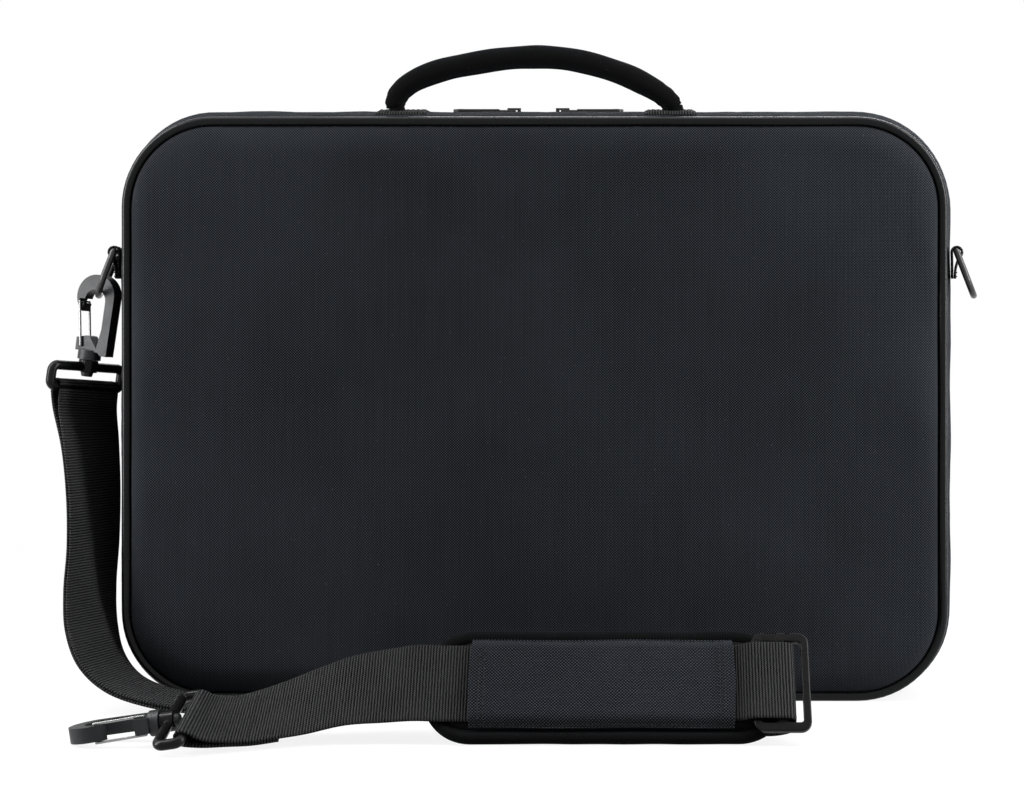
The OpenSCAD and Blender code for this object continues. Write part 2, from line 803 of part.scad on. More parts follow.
// Both layers part below the hook's lower bar. The outer layer turns over it.
bar_a = hook_a_at - [sin(hook_a_lean), 0, cos(hook_a_lean)] * (bar_z + bar_gap);
lie_a = [55.3, -4.6];
layer = web_t / 2 + 0.2;
outer_route = concat(
    [for (i = [0 : len(double_route) - 1]) shifted(double_route, i, layer)],
    [round_bar(bar_a + [0, 0, -10], lie_a, [0, 0, -1], 2.2, -90)],
    [for (a = [-75 : -32 : -267]) round_bar(bar_a, lie_a, [0, 0, -1], turn_r, a)]
);
inner_route = concat(
    [for (i = [0 : len(double_route) - 1]) shifted(double_route, i, -layer)],
    [round_bar(bar_a + [0, 0, -10], lie_a, [0, 0, -1], 2.2, 90),
     round_bar(bar_a, lie_a, [0, 0, -1], turn_r, 74)]
);

module strap_single() {
    webbing(single_route);
}

module strap_outer() {
    webbing(outer_route);
}

module strap_inner() {
    webbing(inner_route);
}

// --- Shoulder pad and strap slider ---
// In the pad's frame X runs along the strap, Y across it and Z out of the pad's face.

module pad_frame() {
    translate([0, pad_y, pad_z]) rotate([pad_lean, 0, 0]) children();
}

module pad_cushion() {
    inset = 2 * bind_r + sewn;
    crown_r = 62;
    color("#16171a") pad_frame() intersection() {
        translate([pad_x, 0, -pad_t]) linear_extrude(pad_t)
            rounded(pad_l - 2 * inset, pad_w - 2 * inset, pad_end_r - inset);
        translate([pad_x, 0, crown_r - pad_t]) rotate([0, 90, 0])
            cylinder(r = crown_r, h = pad_l, center = true, $fn = 128);
    }
}

module pad_binding() {
    color("#0f0f10") pad_frame() translate([pad_x, pad_w / 2, -bind_r]) rotate([90, 0, 0])
        around(pad_l, pad_w, pad_end_r) translate([-bind_r, 0]) circle(bind_r);
}

// The sleeve that covers the webbing, sewn down along its two long edges
module pad_sleeve() {
    rise = web_t + 2.6;
    hem = 2;
    color("#20242a") pad_frame() translate([sleeve_x - sleeve_l / 2, 0, 0]) rotate([90, 0, 90])
        linear_extrude(sleeve_l) polygon([
            [-sleeve_w / 2, sewn], [-sleeve_w / 2, sewn + sleeve_t], [-web_w / 2 - 1, rise],
            [web_w / 2 + 1, rise], [sleeve_w / 2, sewn + sleeve_t], [sleeve_w / 2, sewn],
            [sleeve_w / 2 - hem, sewn], [web_w / 2 + 0.8, rise - sleeve_t],
            [-web_w / 2 - 0.8, rise - sleeve_t], [-sleeve_w / 2 + hem, sewn]
        ]);
}

module strap_slider() {
    slot_w = glide_w - 2 * glide_bar - 1.6;
    color("#131416") pad_frame() translate([glide_x, 0, seat]) linear_extrude(glide_t) difference() {
        rounded(glide_l, glide_w, 5);
        for (s = [-1, 1]) translate([s * (glide_slot + 3.8) / 2, 0])
            rounded(glide_slot, slot_w, 1.5);
    }
}

rear_panel();
rear_gusset();
rear_piping();
rear_zip_tape();
rear_zip_coil();
rear_lining();
laptop_strap_left();
laptop_strap_right();
hinge_strip();
handle_anchors();
ring_tab_left();
ring_tab_right();
handle_grip();
ring_left();
ring_right();
lid_panel();
lid_gusset();
lid_piping();
lid_zip_tape();
lid_zip_coil();
lid_lining();
organiser_pocket();
front_pocket();
pocket_piping();
pocket_zip_tape();
pocket_zip_coil();
pocket_slider();
pocket_pull();
slider_left();
slider_right();
pull_left();
pull_right();
hook_a();
gate_a();
loop_a();
hook_b();
gate_b();
loop_b();
strap_single();
strap_outer();
strap_inner();
strap_slider();
pad_cushion();
pad_sleeve();
pad_binding();
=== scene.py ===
# %% [markdown]
# # A zip-round laptop case in woven cloth
# The case stands on its flat bottom with its plain rear face towards us. Its shoulder strap is clipped
# to the left ring, runs down behind the case's corner and lies on the floor in front with its pad.
# The hard parts arrive as a fixed frame. The soft parts are only stand-ins there, so each of them is
# made again here as cloth, webbing, piping or foam, in the same place.

# %% The frame
import math
import bmesh
import bpy
import numpy as np
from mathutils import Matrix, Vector, noise


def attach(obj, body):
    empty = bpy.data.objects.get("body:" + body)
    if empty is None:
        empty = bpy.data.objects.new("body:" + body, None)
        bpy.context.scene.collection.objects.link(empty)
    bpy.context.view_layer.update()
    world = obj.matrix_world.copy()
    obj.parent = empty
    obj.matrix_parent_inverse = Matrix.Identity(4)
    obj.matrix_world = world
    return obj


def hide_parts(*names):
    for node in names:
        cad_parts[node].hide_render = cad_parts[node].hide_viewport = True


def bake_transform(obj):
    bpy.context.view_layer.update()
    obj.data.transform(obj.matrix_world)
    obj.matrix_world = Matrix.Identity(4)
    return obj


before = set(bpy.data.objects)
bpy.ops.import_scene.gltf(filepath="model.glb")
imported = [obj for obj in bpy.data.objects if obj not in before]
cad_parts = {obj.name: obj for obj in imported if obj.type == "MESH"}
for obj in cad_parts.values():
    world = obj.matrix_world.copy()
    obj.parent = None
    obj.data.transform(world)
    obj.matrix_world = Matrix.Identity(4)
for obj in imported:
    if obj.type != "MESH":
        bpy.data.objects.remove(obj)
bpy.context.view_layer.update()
scene = bpy.context.scene
mm = 0.001


def add_object(name, data):
    made = bpy.data.objects.new(name, data)
    scene.collection.objects.link(made)
    return made


# %% [markdown]
# ## The camera
# The picture was taken a little over a metre away, with the camera level and square to the rear face:
# the outline of the case hardly narrows towards the top. Its middle stands left of and below the lens
# axis, so the picture is shifted rather than turned. That keeps upright edges upright.

# %% The camera
def make_camera():
    data = bpy.data.cameras.new("photo_camera")
    data.sensor_width = 36
    data.lens = 78.1
    data.shift_x = -0.1206
    data.shift_y = -0.0996
    data.clip_start, data.clip_end = 0.05, 30
    camera = add_object("photo_camera", data)
    camera.location = (0.05, -1.1375, 0.2)
    camera.rotation_euler = (math.radians(90), 0, 0)
    scene.camera = camera
    return camera


camera = make_camera()
print("camera at", tuple(camera.location))

# %% [markdown]
# ## Light and floor
# Black cloth shows its shape through soft reflections. In the picture the rims of the rear panel are
# bright and its middle is dark, so two upright strip lamps stand close beside the case, only a little in
# front of it. A wide lamp hangs above, and another lights the front of the case, which faces away.

# %% Lamps
def soft_lamp(name, place, aim, size, power):
    data = bpy.data.lights.new(name, "AREA")
    data.shape = "RECTANGLE"
    data.size, data.size_y = size
    data.energy = power
    lamp = add_object(name, data)
    lamp.location = place
    lamp.rotation_euler = (Vector(aim) - Vector(place)).to_track_quat("-Z", "Y").to_euler()
    return lamp


soft_lamp("lamp_left", (-0.52, -0.17, 0.34), (-0.15, 0, 0.16), (0.12, 0.7), 5.4)
soft_lamp("lamp_right", (0.52, -0.17, 0.34), (0.15, 0, 0.16), (0.12, 0.7), 5.6)
soft_lamp("lamp_top", (0, 0.0, 1.5), (0, 0, 0.1), (1.4, 1.0), 9)
soft_lamp("lamp_behind", (0.3, 1.5, 0.9), (0, 0, 0.12), (1.2, 1.0), 16)
scene.view_settings.view_transform = "Standard"

# %% [markdown]
# ### A small kit for node trees
# The world, the floor and every finish are node trees.

# %% A small kit for node trees
class Sheet:
    """Adds nodes to one tree and joins them. A plain number or colour is set on the socket itself."""

    def __init__(self, tree):
        self.tree = tree

    def put(self, made, **inputs):
        """Joins or sets a node's inputs. _0 is the first one, and a name's gaps are underscores."""
        for key, value in inputs.items():
            socket = made.inputs[int(key[1:]) if key[0] == "_" else key.replace("_", " ")]
            if isinstance(value, bpy.types.NodeSocket):
                self.tree.links.new(value, socket)
            else:
                socket.default_value = value
        return made

    def node(self, kind, settings=None, **inputs):
        made = self.tree.nodes.new(kind)
        for key, value in (settings or {}).items():
            setattr(made, key, value)
        return self.put(made, **inputs)

    def math(self, operation, a, b=0.5):
        return self.node("ShaderNodeMath", {"operation": operation}, _0=a, _1=b).outputs[0]

    def plus(self, a, b):
        return self.math("ADD", a, b)

    def minus(self, a, b):
        return self.math("SUBTRACT", a, b)

    def times(self, a, b):
        return self.math("MULTIPLY", a, b)

    def over(self, a, b):
        return self.math("DIVIDE", a, b)

    def arch(self, turns):
        """A row of round humps that touch zero at every whole number."""
        return self.math("ABSOLUTE", self.math("SINE", self.times(turns, math.pi)))

    def pick(self, mask, first, second):
        """The first value where the mask is 1 and the second where it is 0."""
        return self.plus(self.times(mask, first), self.times(self.minus(1.0, mask), second))

    def between(self, value, low, high, to_low=0.0, to_high=1.0):
        """The value's range low to high carried to another range, held at its ends."""
        return self.node("ShaderNodeMapRange", {"clamp": True}, Value=value, From_Min=low, From_Max=high,
                         To_Min=to_low, To_Max=to_high).outputs[0]

    def blend(self, share, first, second):
        return self.node("ShaderNodeMix", {"data_type": "RGBA"}, _0=share, _6=first, _7=second).outputs[2]

    def noise(self, place, scale, detail=2.0, roughness=0.5):
        return self.node("ShaderNodeTexNoise", Vector=place, Scale=scale, Detail=detail,
                         Roughness=roughness).outputs["Fac"]

    def stretched(self, place, scale, turn=0.0):
        return self.node("ShaderNodeMapping", {"vector_type": "POINT"}, Vector=place, Scale=scale,
                         Rotation=(0.0, 0.0, turn)).outputs[0]


print("node kit ready")

# %% [markdown]
# ### White surroundings
# The world and the floor are white to the camera and in reflections. To the light itself the world is
# dim, and the floor is a middle grey, so little light comes up from below. Near the case the floor keeps
# a part of its own shading, so the case still has its shadow.

# %% White world
def shown_ray(s):
    """1 for what the camera sees directly, in a reflection or through a clear surface."""
    path = s.node("ShaderNodeLightPath").outputs
    seen = s.math("MAXIMUM", path["Is Camera Ray"], path["Is Glossy Ray"])
    return s.math("MAXIMUM", seen, path["Is Transmission Ray"])


def empty_sheet(owner):
    owner.use_nodes = True
    owner.node_tree.nodes.clear()
    return Sheet(owner.node_tree)


def make_world():
    world = bpy.data.worlds.new("studio")
    s = empty_sheet(world)
    room = s.node("ShaderNodeBackground", Color=(0.93, 0.96, 1, 1), Strength=0.1)
    white = s.node("ShaderNodeBackground", Color=(1, 1, 1, 1), Strength=1)
    mix = s.node("ShaderNodeMixShader", _0=shown_ray(s), _1=room.outputs[0], _2=white.outputs[0])
    s.node("ShaderNodeOutputWorld", Surface=mix.outputs[0])
    scene.world = world


def make_floor():
    side = 8.0
    near, far, least_glow = 0.3, 0.9, 0.87
    mesh = bpy.data.meshes.new("floor")
    mesh.from_pydata([(-side, -side, 0), (side, -side, 0), (side, side, 0), (-side, side, 0)], [],
                     [(0, 1, 2, 3)])
    floor = add_object("floor", mesh)
    paint = bpy.data.materials.new("pale_floor")
    s = empty_sheet(paint)
    shown = shown_ray(s)
    place = s.node("ShaderNodeTexCoord").outputs["Object"]
    away = s.node("ShaderNodeVectorMath", {"operation": "LENGTH"}, _0=place).outputs["Value"]
    matt = s.node("ShaderNodeBsdfDiffuse", Color=s.between(shown, 0.0, 1.0, 0.3, 0.95))
    glow = s.node("ShaderNodeEmission", Strength=1)
    share = s.times(shown, s.between(away, near, far, least_glow, 1.0))
    mix = s.node("ShaderNodeMixShader", _0=share, _1=matt.outputs[0], _2=glow.outputs[0])
    s.node("ShaderNodeOutputMaterial", Surface=mix.outputs[0])
    mesh.materials.append(paint)


make_world()
make_floor()
print("world and floor are white to the camera")

# %% [markdown]
# ## Effects that several finishes share
# Each effect is a node group that puts out values which change over the surface: a height for the bump
# and a mask for colour and roughness. They read the UV map, which every piece of cloth below
# carries in metres, so a thread is as wide on the panel as it is on the pad.

# %% Effect helper
def effect(name, inputs, outputs):
    """An empty node group with float inputs {name: default} and outputs, and its sheet."""
    tree = bpy.data.node_groups.new(name, "ShaderNodeTree")
    tree.interface.new_socket("Vector", in_out="INPUT", socket_type="NodeSocketVector")
    for key, value in inputs.items():
        tree.interface.new_socket(key, in_out="INPUT", socket_type="NodeSocketFloat").default_value = value
    for key in outputs:
        tree.interface.new_socket(key, in_out="OUTPUT", socket_type="NodeSocketFloat")
    return tree, Sheet(tree), tree.nodes.new("NodeGroupInput").outputs, tree.nodes.new("NodeGroupOutput")


print("effect helper ready")

# %% [markdown]
# ### Plain weave
# The cloth is a heavy plain weave: each thread passes over one thread and under the next. In every
# little square of the weave either the upright or the level thread is on top, as on a chessboard.
# A sine over each thread gives its round back, and where a thread dives it sinks, so the cloth finishes paint
# shade there.

# %% Plain weave group
def make_weave():
    tree, s, start, end = effect("plain_weave", {"Thread": 0.0005, "Slub": 0.5},
                                 ["Height", "Upright", "Slubs"])
    place, thread, slub = start["Vector"], start["Thread"], start["Slub"]
    apart = s.node("ShaderNodeSeparateXYZ", _0=place).outputs
    wander = s.times(s.minus(s.noise(place, 260.0, 1.0), 0.5), s.times(thread, 0.5))
    u = s.over(s.plus(apart[0], wander), thread)
    v = s.over(s.minus(apart[1], wander), thread)
    board = s.math("MODULO", s.math("ABSOLUTE", s.plus(s.math("FLOOR", u), s.math("FLOOR", v))), 2.0)
    upright = s.math("GREATER_THAN", board, 0.5)
    across_u, across_v = s.arch(u), s.arch(v)
    on_top, dive = s.pick(upright, across_u, across_v), s.pick(upright, across_v, across_u)
    back = s.times(s.math("POWER", on_top, 0.7), s.between(dive, 0.0, 0.6, 0.35, 1.0))
    thick_u, thick_v = (s.noise(s.stretched(place, scale), 1.0, 1.0)
                        for scale in [(900.0, 18.0, 1.0), (18.0, 900.0, 1.0)])
    slubs = s.times(s.between(s.pick(upright, thick_u, thick_v), 0.3, 0.7), slub)
    s.put(end, Height=back, Upright=upright, Slubs=slubs)
    return tree


WEAVE = make_weave()
print("group:", WEAVE.name)

# %% [markdown]
# ### Webbing ribs
# Strap webbing is woven so tightly along its length that only its fine cross ribs show, like a stack of
# rounded bars. The threads that run along it divide every bar into slanting stitches.

# %% Webbing group
def make_ribs():
    tree, s, start, end = effect("webbing_ribs", {"Rib": 0.00115, "Column": 0.0011, "Slant": 0.35},
                                 ["Height", "Thread"])
    place, rib, column, slant = (start[key] for key in ["Vector", "Rib", "Column", "Slant"])
    apart = s.node("ShaderNodeSeparateXYZ", _0=place).outputs
    within = s.minus(s.math("FRACT", s.over(apart[0], column)), 0.5)
    rough = s.times(s.minus(s.noise(place, 500.0, 2.0), 0.5), 0.5)
    bars = s.arch(s.plus(s.over(apart[1], rib), s.plus(s.times(within, slant), rough)))
    columns = s.math("COSINE", s.times(within, math.pi))
    height = s.times(s.math("POWER", bars, 2.0), s.between(columns, 0.0, 0.6, 0.6, 1.0))
    s.put(end, Height=height, Thread=bars)
    return tree


RIBS = make_ribs()
print("group:", RIBS.name)

# %% [markdown]
# ### Knit
# The binding round the pad and the handle's soft wrap are knitted: columns of small V-shaped loops.

# %% Knit group
def make_knit():
    tree, s, start, end = effect("knit_loops", {"Loop": 0.0014}, ["Height", "Loops"])
    place, loop = start["Vector"], start["Loop"]
    apart = s.node("ShaderNodeSeparateXYZ", _0=place).outputs
    half = s.math("ABSOLUTE", s.minus(s.math("FRACT", s.over(apart[0], loop)), 0.5))
    loops = s.arch(s.plus(s.over(apart[1], loop), s.times(half, 1.6)))
    ridge = s.math("SINE", s.times(half, 2 * math.pi))
    s.put(end, Height=s.times(loops, s.between(ridge, 0.0, 0.8, 0.3, 1.0)), Loops=loops)
    return tree


KNIT = make_knit()
print("group:", KNIT.name)

# %% [markdown]
# ### Lint, handling and moulded grain
# Black cloth is never one black. Hands and light leave broad paler areas, and single fibres stick to
# it. Moulded plastic has a fine grain and is polished where it rubs.

# %% Wear groups
def make_handling():
    tree, s, start, end = effect("handling", {"Size": 9.0}, ["Broad", "Lint"])
    place, size = start["Vector"], start["Size"]
    broad = s.between(s.noise(place, size, 3.0, 0.55), 0.32, 0.7)
    lint = s.between(s.noise(s.stretched(place, (1.0, 0.35, 1.0), 0.6), 1500.0, 1.0), 0.74, 0.8)
    s.put(end, Broad=broad, Lint=lint)
    return tree


def make_grain():
    tree, s, start, end = effect("moulded_grain", {"Grain": 1400.0}, ["Height", "Rubbed"])
    place, grain = start["Vector"], start["Grain"]
    cells = s.node("ShaderNodeTexVoronoi", Vector=place, Scale=grain).outputs["Distance"]
    height = s.plus(s.times(cells, 0.5), s.times(s.noise(place, 500.0, 3.0), 0.5))
    s.put(end, Height=height, Rubbed=s.between(s.noise(place, 60.0, 4.0, 0.65), 0.42, 0.72))
    return tree


HANDLING = make_handling()
GRAIN = make_grain()
print("groups:", HANDLING.name, GRAIN.name)

# %% [markdown]
# ## Cloth finishes
# Every cloth here is built the same way: a thread pattern drives the bump and paints shade into the hollows,
# broad handling marks shift the colour, and lint adds single pale specks. Only the pattern, its size and the
# two colours differ, so one function makes them all.

# %% Cloth materials
def shade(grey, tint=(1.0, 1.0, 1.0)):
    return (grey * tint[0], grey * tint[1], grey * tint[2], 1.0)


def group_node(sheet, tree, place, **values):
    return sheet.node("ShaderNodeGroup", {"node_tree": tree}, Vector=place, **values)


def new_finish(name):
    finish = bpy.data.materials.new(name)
    finish.use_nodes = True
    sheet = Sheet(finish.node_tree)
    return finish, sheet, finish.node_tree.nodes["Principled BSDF"]


def cloth(name, pattern, hollow_shade, thread, bump=0.0003, rough=(0.75, 0.95), sheen=0.02, gloss=0.08, size=9.0,
          by="UV", thread_shade=0.2, **values):
    """A cloth painted with shade: its hollows get a near-black colour and its raised threads another. The
    level threads of a weave, and the gaps between ribs or loops, get more painted shade as the pattern's
    second mask sets."""
    finish, s, body = new_finish(name)
    place = s.node("ShaderNodeTexCoord").outputs[by]
    threads = group_node(s, pattern, place, **values)
    marks = group_node(s, HANDLING, place, Size=size)
    height = threads.outputs["Height"]
    # Painted shade: where the pattern's second mask is low, on a weave's level threads and between ribs or
    # loops, the colour darkens.
    raised = s.times(height, s.plus(1.0 - thread_shade, s.times(threads.outputs[1], thread_shade)))
    if len(threads.outputs) > 2:
        raised = s.times(raised, s.between(threads.outputs[2], 0.0, 0.5, 1.0, 0.86))
    # Painted shade: the hollows get the first, near-black colour and the raised threads the thread colour.
    colour = s.blend(s.between(raised, 0.1, 0.95), hollow_shade, thread)
    paler = tuple(1.35 * c for c in thread[:3]) + (1.0,)
    colour = s.blend(s.times(marks.outputs["Broad"], 0.12), colour, paler)
    colour = s.blend(s.times(marks.outputs["Lint"], 0.5), colour, (0.12, 0.12, 0.125, 1.0))
    relief = s.node("ShaderNodeBump", Strength=0.9, Distance=bump, Height=height)
    s.put(body, Base_Color=colour, Roughness=s.between(raised, 0.0, 1.0, rough[1], rough[0]),
          Normal=relief.outputs[0], Specular_IOR_Level=gloss, Sheen_Weight=sheen,
          Sheen_Roughness=0.45, Sheen_Tint=(0.75, 0.85, 1.0, 1.0))
    return finish


COOL = (0.86, 0.95, 1.12)
# The first colour of each cloth is painted shade for its hollows, the second the colour of its threads.
SHELL = cloth("shell_weave", WEAVE, shade(0.001, COOL), shade(0.064, COOL), thread_shade=0.88, gloss=0.03,
              Thread=0.00066)
PAD_WEAVE = cloth("sleeve_weave", WEAVE, shade(0.001, COOL), shade(0.078, COOL), bump=0.0004, thread_shade=0.9,
                  gloss=0.03, Thread=0.00074)
WEBBING = cloth("strap_webbing", RIBS, shade(0.001), shade(0.064), bump=0.0006, thread_shade=0.9, gloss=0.03,
                size=30.0, Rib=0.00135)
TAPE = cloth("zip_tape_weave", RIBS, shade(0.002), shade(0.012), Rib=0.0008, Column=0.0009, Slant=1.0)
KNITTED = cloth("knit_binding", KNIT, shade(0.001), shade(0.009), bump=0.0004, gloss=0.02, size=40.0,
                Loop=0.0012)
WRAP = cloth("handle_wrap", KNIT, shade(0.001), shade(0.006), bump=0.0002, gloss=0.03, size=40.0,
             Loop=0.0009)
LINING = cloth("brushed_lining", WEAVE, shade(0.03), shade(0.075), bump=0.0002, sheen=0.1, Thread=0.0004)
print("cloths:", [m.name for m in (SHELL, PAD_WEAVE, WEBBING, TAPE, KNITTED, WRAP, LINING)])

# %% [markdown]
# ## Hard finishes
# The piping is smooth vinyl over a cord. Hooks, loops and the strap slider are moulded black plastic,
# the rings are blackened wire, the gates are bright wire and the zip sliders are lacquered metal.

# %% Hard materials
def moulded(name, dark, worn, rough=(0.3, 0.5), bump=0.00006, metal=0.0, gloss=0.5):
    """Plastic, vinyl or metal with a fine grain that is smoother and paler where it is rubbed."""
    finish, s, body = new_finish(name)
    place = s.node("ShaderNodeTexCoord").outputs["Object"]
    grain = group_node(s, GRAIN, place, Grain=1400.0).outputs
    lint = group_node(s, HANDLING, place, Size=55.0).outputs["Lint"]
    share = s.plus(s.times(grain["Rubbed"], 0.6), s.times(lint, 0.3))
    relief = s.node("ShaderNodeBump", Strength=0.5, Distance=bump, Height=grain["Height"])
    s.put(body, Base_Color=s.blend(share, dark, worn), Metallic=metal, Specular_IOR_Level=gloss,
          Roughness=s.between(grain["Rubbed"], 0.0, 1.0, rough[1], rough[0]), Normal=relief.outputs[0])
    return finish


VINYL = moulded("piping_vinyl", shade(0.003, COOL), shade(0.006, COOL), rough=(0.2, 0.3), gloss=0.15)
PLASTIC = moulded("hook_plastic", shade(0.006, COOL), shade(0.017, COOL), rough=(0.36, 0.5), gloss=0.3)
GLOSSY = moulded("loop_plastic", shade(0.004), shade(0.009), rough=(0.16, 0.3), bump=0.00003, gloss=0.12)
BLACK_WIRE = moulded("ring_metal", shade(0.02), shade(0.05), rough=(0.22, 0.38), metal=0.35,
                     bump=0.00003, gloss=0.4)
BRIGHT_WIRE = moulded("gate_wire", shade(0.22), shade(0.36), rough=(0.16, 0.26), metal=1.0, bump=0.00001)
ZIP_METAL = moulded("zip_metal", shade(0.012), shade(0.05), rough=(0.25, 0.45), metal=0.4,
                    bump=0.00003, gloss=0.4)
COIL = moulded("zip_coil", shade(0.004), shade(0.009), rough=(0.3, 0.45), bump=0.00002, gloss=0.3)
THREAD = moulded("sewing_thread", shade(0.008), shade(0.022), rough=(0.5, 0.7), gloss=0.2, bump=0.00004)
print("hard finishes ready")

# %% [markdown]
# ## Skinning
# Cloth is easy to build as a row of rings: each ring is one cut through the piece, and quads join
# each ring to the next. The UV map is measured along the surface in metres while the mesh is made.

# %% The skin helper
def skin(name, rings, wrap=True, loop=False, ends=False, flat_uv=False):
    """A mesh over rings of points in mm. wrap closes each ring, loop joins the last ring to the first,
    ends fills both end rings, flat_uv reads the UV map straight from X and Z."""
    rings = np.array(rings, float)
    count, size = rings.shape[:2]
    verts = rings.reshape(-1, 3) * mm
    rows, columns = count if loop else count - 1, size if wrap else size - 1
    closed = np.concatenate([rings, rings[:, :1]], 1) if wrap else rings
    round_it = np.concatenate([[0], np.linalg.norm(np.diff(closed, axis=1), axis=2).mean(0).cumsum()]) * mm
    ringed = np.concatenate([rings, rings[:1]]) if loop else rings
    along = np.concatenate([[0], np.linalg.norm(np.diff(ringed, axis=0), axis=2).mean(1).cumsum()]) * mm
    faces, uv = [], []
    for r in range(rows):
        for c in range(columns):
            r2, c2 = (r + 1) % count, (c + 1) % size
            faces.append((r * size + c, r2 * size + c, r2 * size + c2, r * size + c2))
            uv += [(round_it[c], along[r]), (round_it[c], along[r + 1]),
                   (round_it[c + 1], along[r + 1]), (round_it[c + 1], along[r])]
    if ends:
        for first in (0, (count - 1) * size):
            face = [first + c for c in range(size)]
            face = face[::-1] if first else face
            faces.append(face)
            uv += [(round_it[c - first], 0.0) for c in face]
    if flat_uv:
        uv = [(verts[i][0], verts[i][2]) for f in faces for i in f]
    mesh = bpy.data.meshes.new(name)
    mesh.from_pydata([tuple(v) for v in verts], [], faces)
    layer = mesh.uv_layers.new(name="UVMap")
    layer.data.foreach_set("uv", np.array(uv, float).ravel())
    mesh.polygons.foreach_set("use_smooth", [True] * len(faces))
    mesh.update()
    return add_object(name, mesh)


def side_name(stem, side):
    return stem + ("left" if side < 0 else "right")


def thicken(made, by):
    """Gives an open sheet a thickness in mm behind its face."""
    thick = made.modifiers.new("thickness", "SOLIDIFY")
    thick.thickness, thick.offset = by * mm, -1


def finish_piece(made, body, slot, finish, *nodes):
    """Puts the finish on, makes the piece ride on its body and hides the CAD nodes it stands for."""
    made.data.materials.clear()
    made.data.materials.append(finish)
    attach(made, body)
    if nodes:
        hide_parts(*nodes)
    return made


print("skin helper ready")

# %% [markdown]
# ## The shoulder strap
# The strap is one long piece of polyester webbing, and the strap slider and the two eyes divide it into
# three free stretches. The single stretch is sewn round the loose hook's bar, passes through the pad's
# sleeve and goes over the strap slider. From there two layers run back: down behind the pad, along the
# floor and up the left side to the clipped hook. Each stretch repeats the route of its solid.

# %% Route helpers
WEB_W, WEB_T = 38.0, 1.4
REAR_Y, CASE_W, CASE_H, CORNER_R = -36.0, 410.0, 290.0, 45.0
PAD_LEAN, PAD_X, PAD_Y, PAD_Z = math.radians(53), 36.0, REAR_Y - 94.1, 24.8
PAD_L, PAD_W, PAD_T = 164.0, 56.0, 8.0
GLIDE_X = 116.0
BAR_R, BAR_GAP, BAR_REACH = 2.4, 0.3, 18.5
TURN_R = BAR_R + BAR_GAP + WEB_T / 2


def width_dir(heading, rise):
    h, r = math.radians(heading), math.radians(rise)
    return np.array([math.cos(h) * math.cos(r), math.sin(h) * math.cos(r), math.sin(r)])


def on_pad(x, y, z):
    """A place in the pad's own leaning frame, with the strap's width lying across the pad."""
    c, s = math.cos(PAD_LEAN), math.sin(PAD_LEAN)
    return [x, PAD_Y + y * c - z * s, PAD_Z + y * s + z * c, 90, math.degrees(PAD_LEAN)]


def round_bar(bar, lie, out, r, angle):
    """A place round a bar at an angle from the direction in which the webbing leaves it."""
    w = width_dir(*lie)
    e = np.array(out, float) - w * np.dot(out, w)
    e /= np.linalg.norm(e)
    a = math.radians(angle)
    return [*(np.array(bar) + r * (math.cos(a) * e + math.sin(a) * np.cross(e, w))), *lie]


def shifted(route, i, s):
    """A place of a route moved off square to the webbing's face."""
    before, after = np.array(route[max(i - 1, 0)][:3]), np.array(route[min(i + 1, len(route) - 1)][:3])
    away = np.cross(after - before, width_dir(*route[i][3:]))
    return [*(np.array(route[i][:3]) + away / np.linalg.norm(away) * s), *route[i][3:]]


print("turn radius of the webbing on its bars:", TURN_R, "mm")

# %% The three routes
HOOK_B, YAW, DIP = np.array([-165.4, -146.0, 10.2]), math.radians(-7), math.radians(9)
BAR_B = HOOK_B + BAR_REACH * np.array([math.cos(DIP) * math.cos(YAW), math.cos(DIP) * math.sin(YAW),
                                       math.sin(DIP)])
LIE_B = [86, 18]
PAD_END = PAD_X - PAD_L / 2
free_run = [[BAR_B[0] + (PAD_END - BAR_B[0]) * q[0], BAR_B[1] + q[1], BAR_B[2] + q[2], q[3], q[4]] for q in [
    [0.08, 1, -0.6, 88, 19], [0.17, 4.5, -1.3, 90, 22], [0.27, 9, -0.6, 90, 27], [0.38, 13.5, 1.4, 90, 32],
    [0.49, 17, 4, 90, 38], [0.66, 19.2, 8.7, 90, 44], [0.84, 18.3, 11.2, 90, 50]]]
SLIDE_Z = 0.6 + 3 + WEB_T / 2 + 0.15
single_route = (
    [shifted(free_run, i, s) for i, s in [(3, -1.8), (2, -1.8), (1, -2), (0, -3.4)]]
    + [round_bar(BAR_B, LIE_B, [1, 0, 0], TURN_R, a) for a in range(-95, -300, -34)]
    + free_run
    + [on_pad(PAD_END - 4, 0, 1.6), on_pad(PAD_END + 8, 0, 1.1), on_pad(PAD_X - 20, 0, 1),
       on_pad(PAD_X + 50, 0, 1), on_pad(GLIDE_X - 24, 0, 1), on_pad(GLIDE_X - 18, 0, 2.5),
       on_pad(GLIDE_X - 13, 0, SLIDE_Z), on_pad(GLIDE_X + 1, 0, SLIDE_Z), on_pad(GLIDE_X + 4.5, 0, 3.9),
       on_pad(GLIDE_X + 5.6, 0, 2.2)])
SIDE_X = -CASE_W / 2
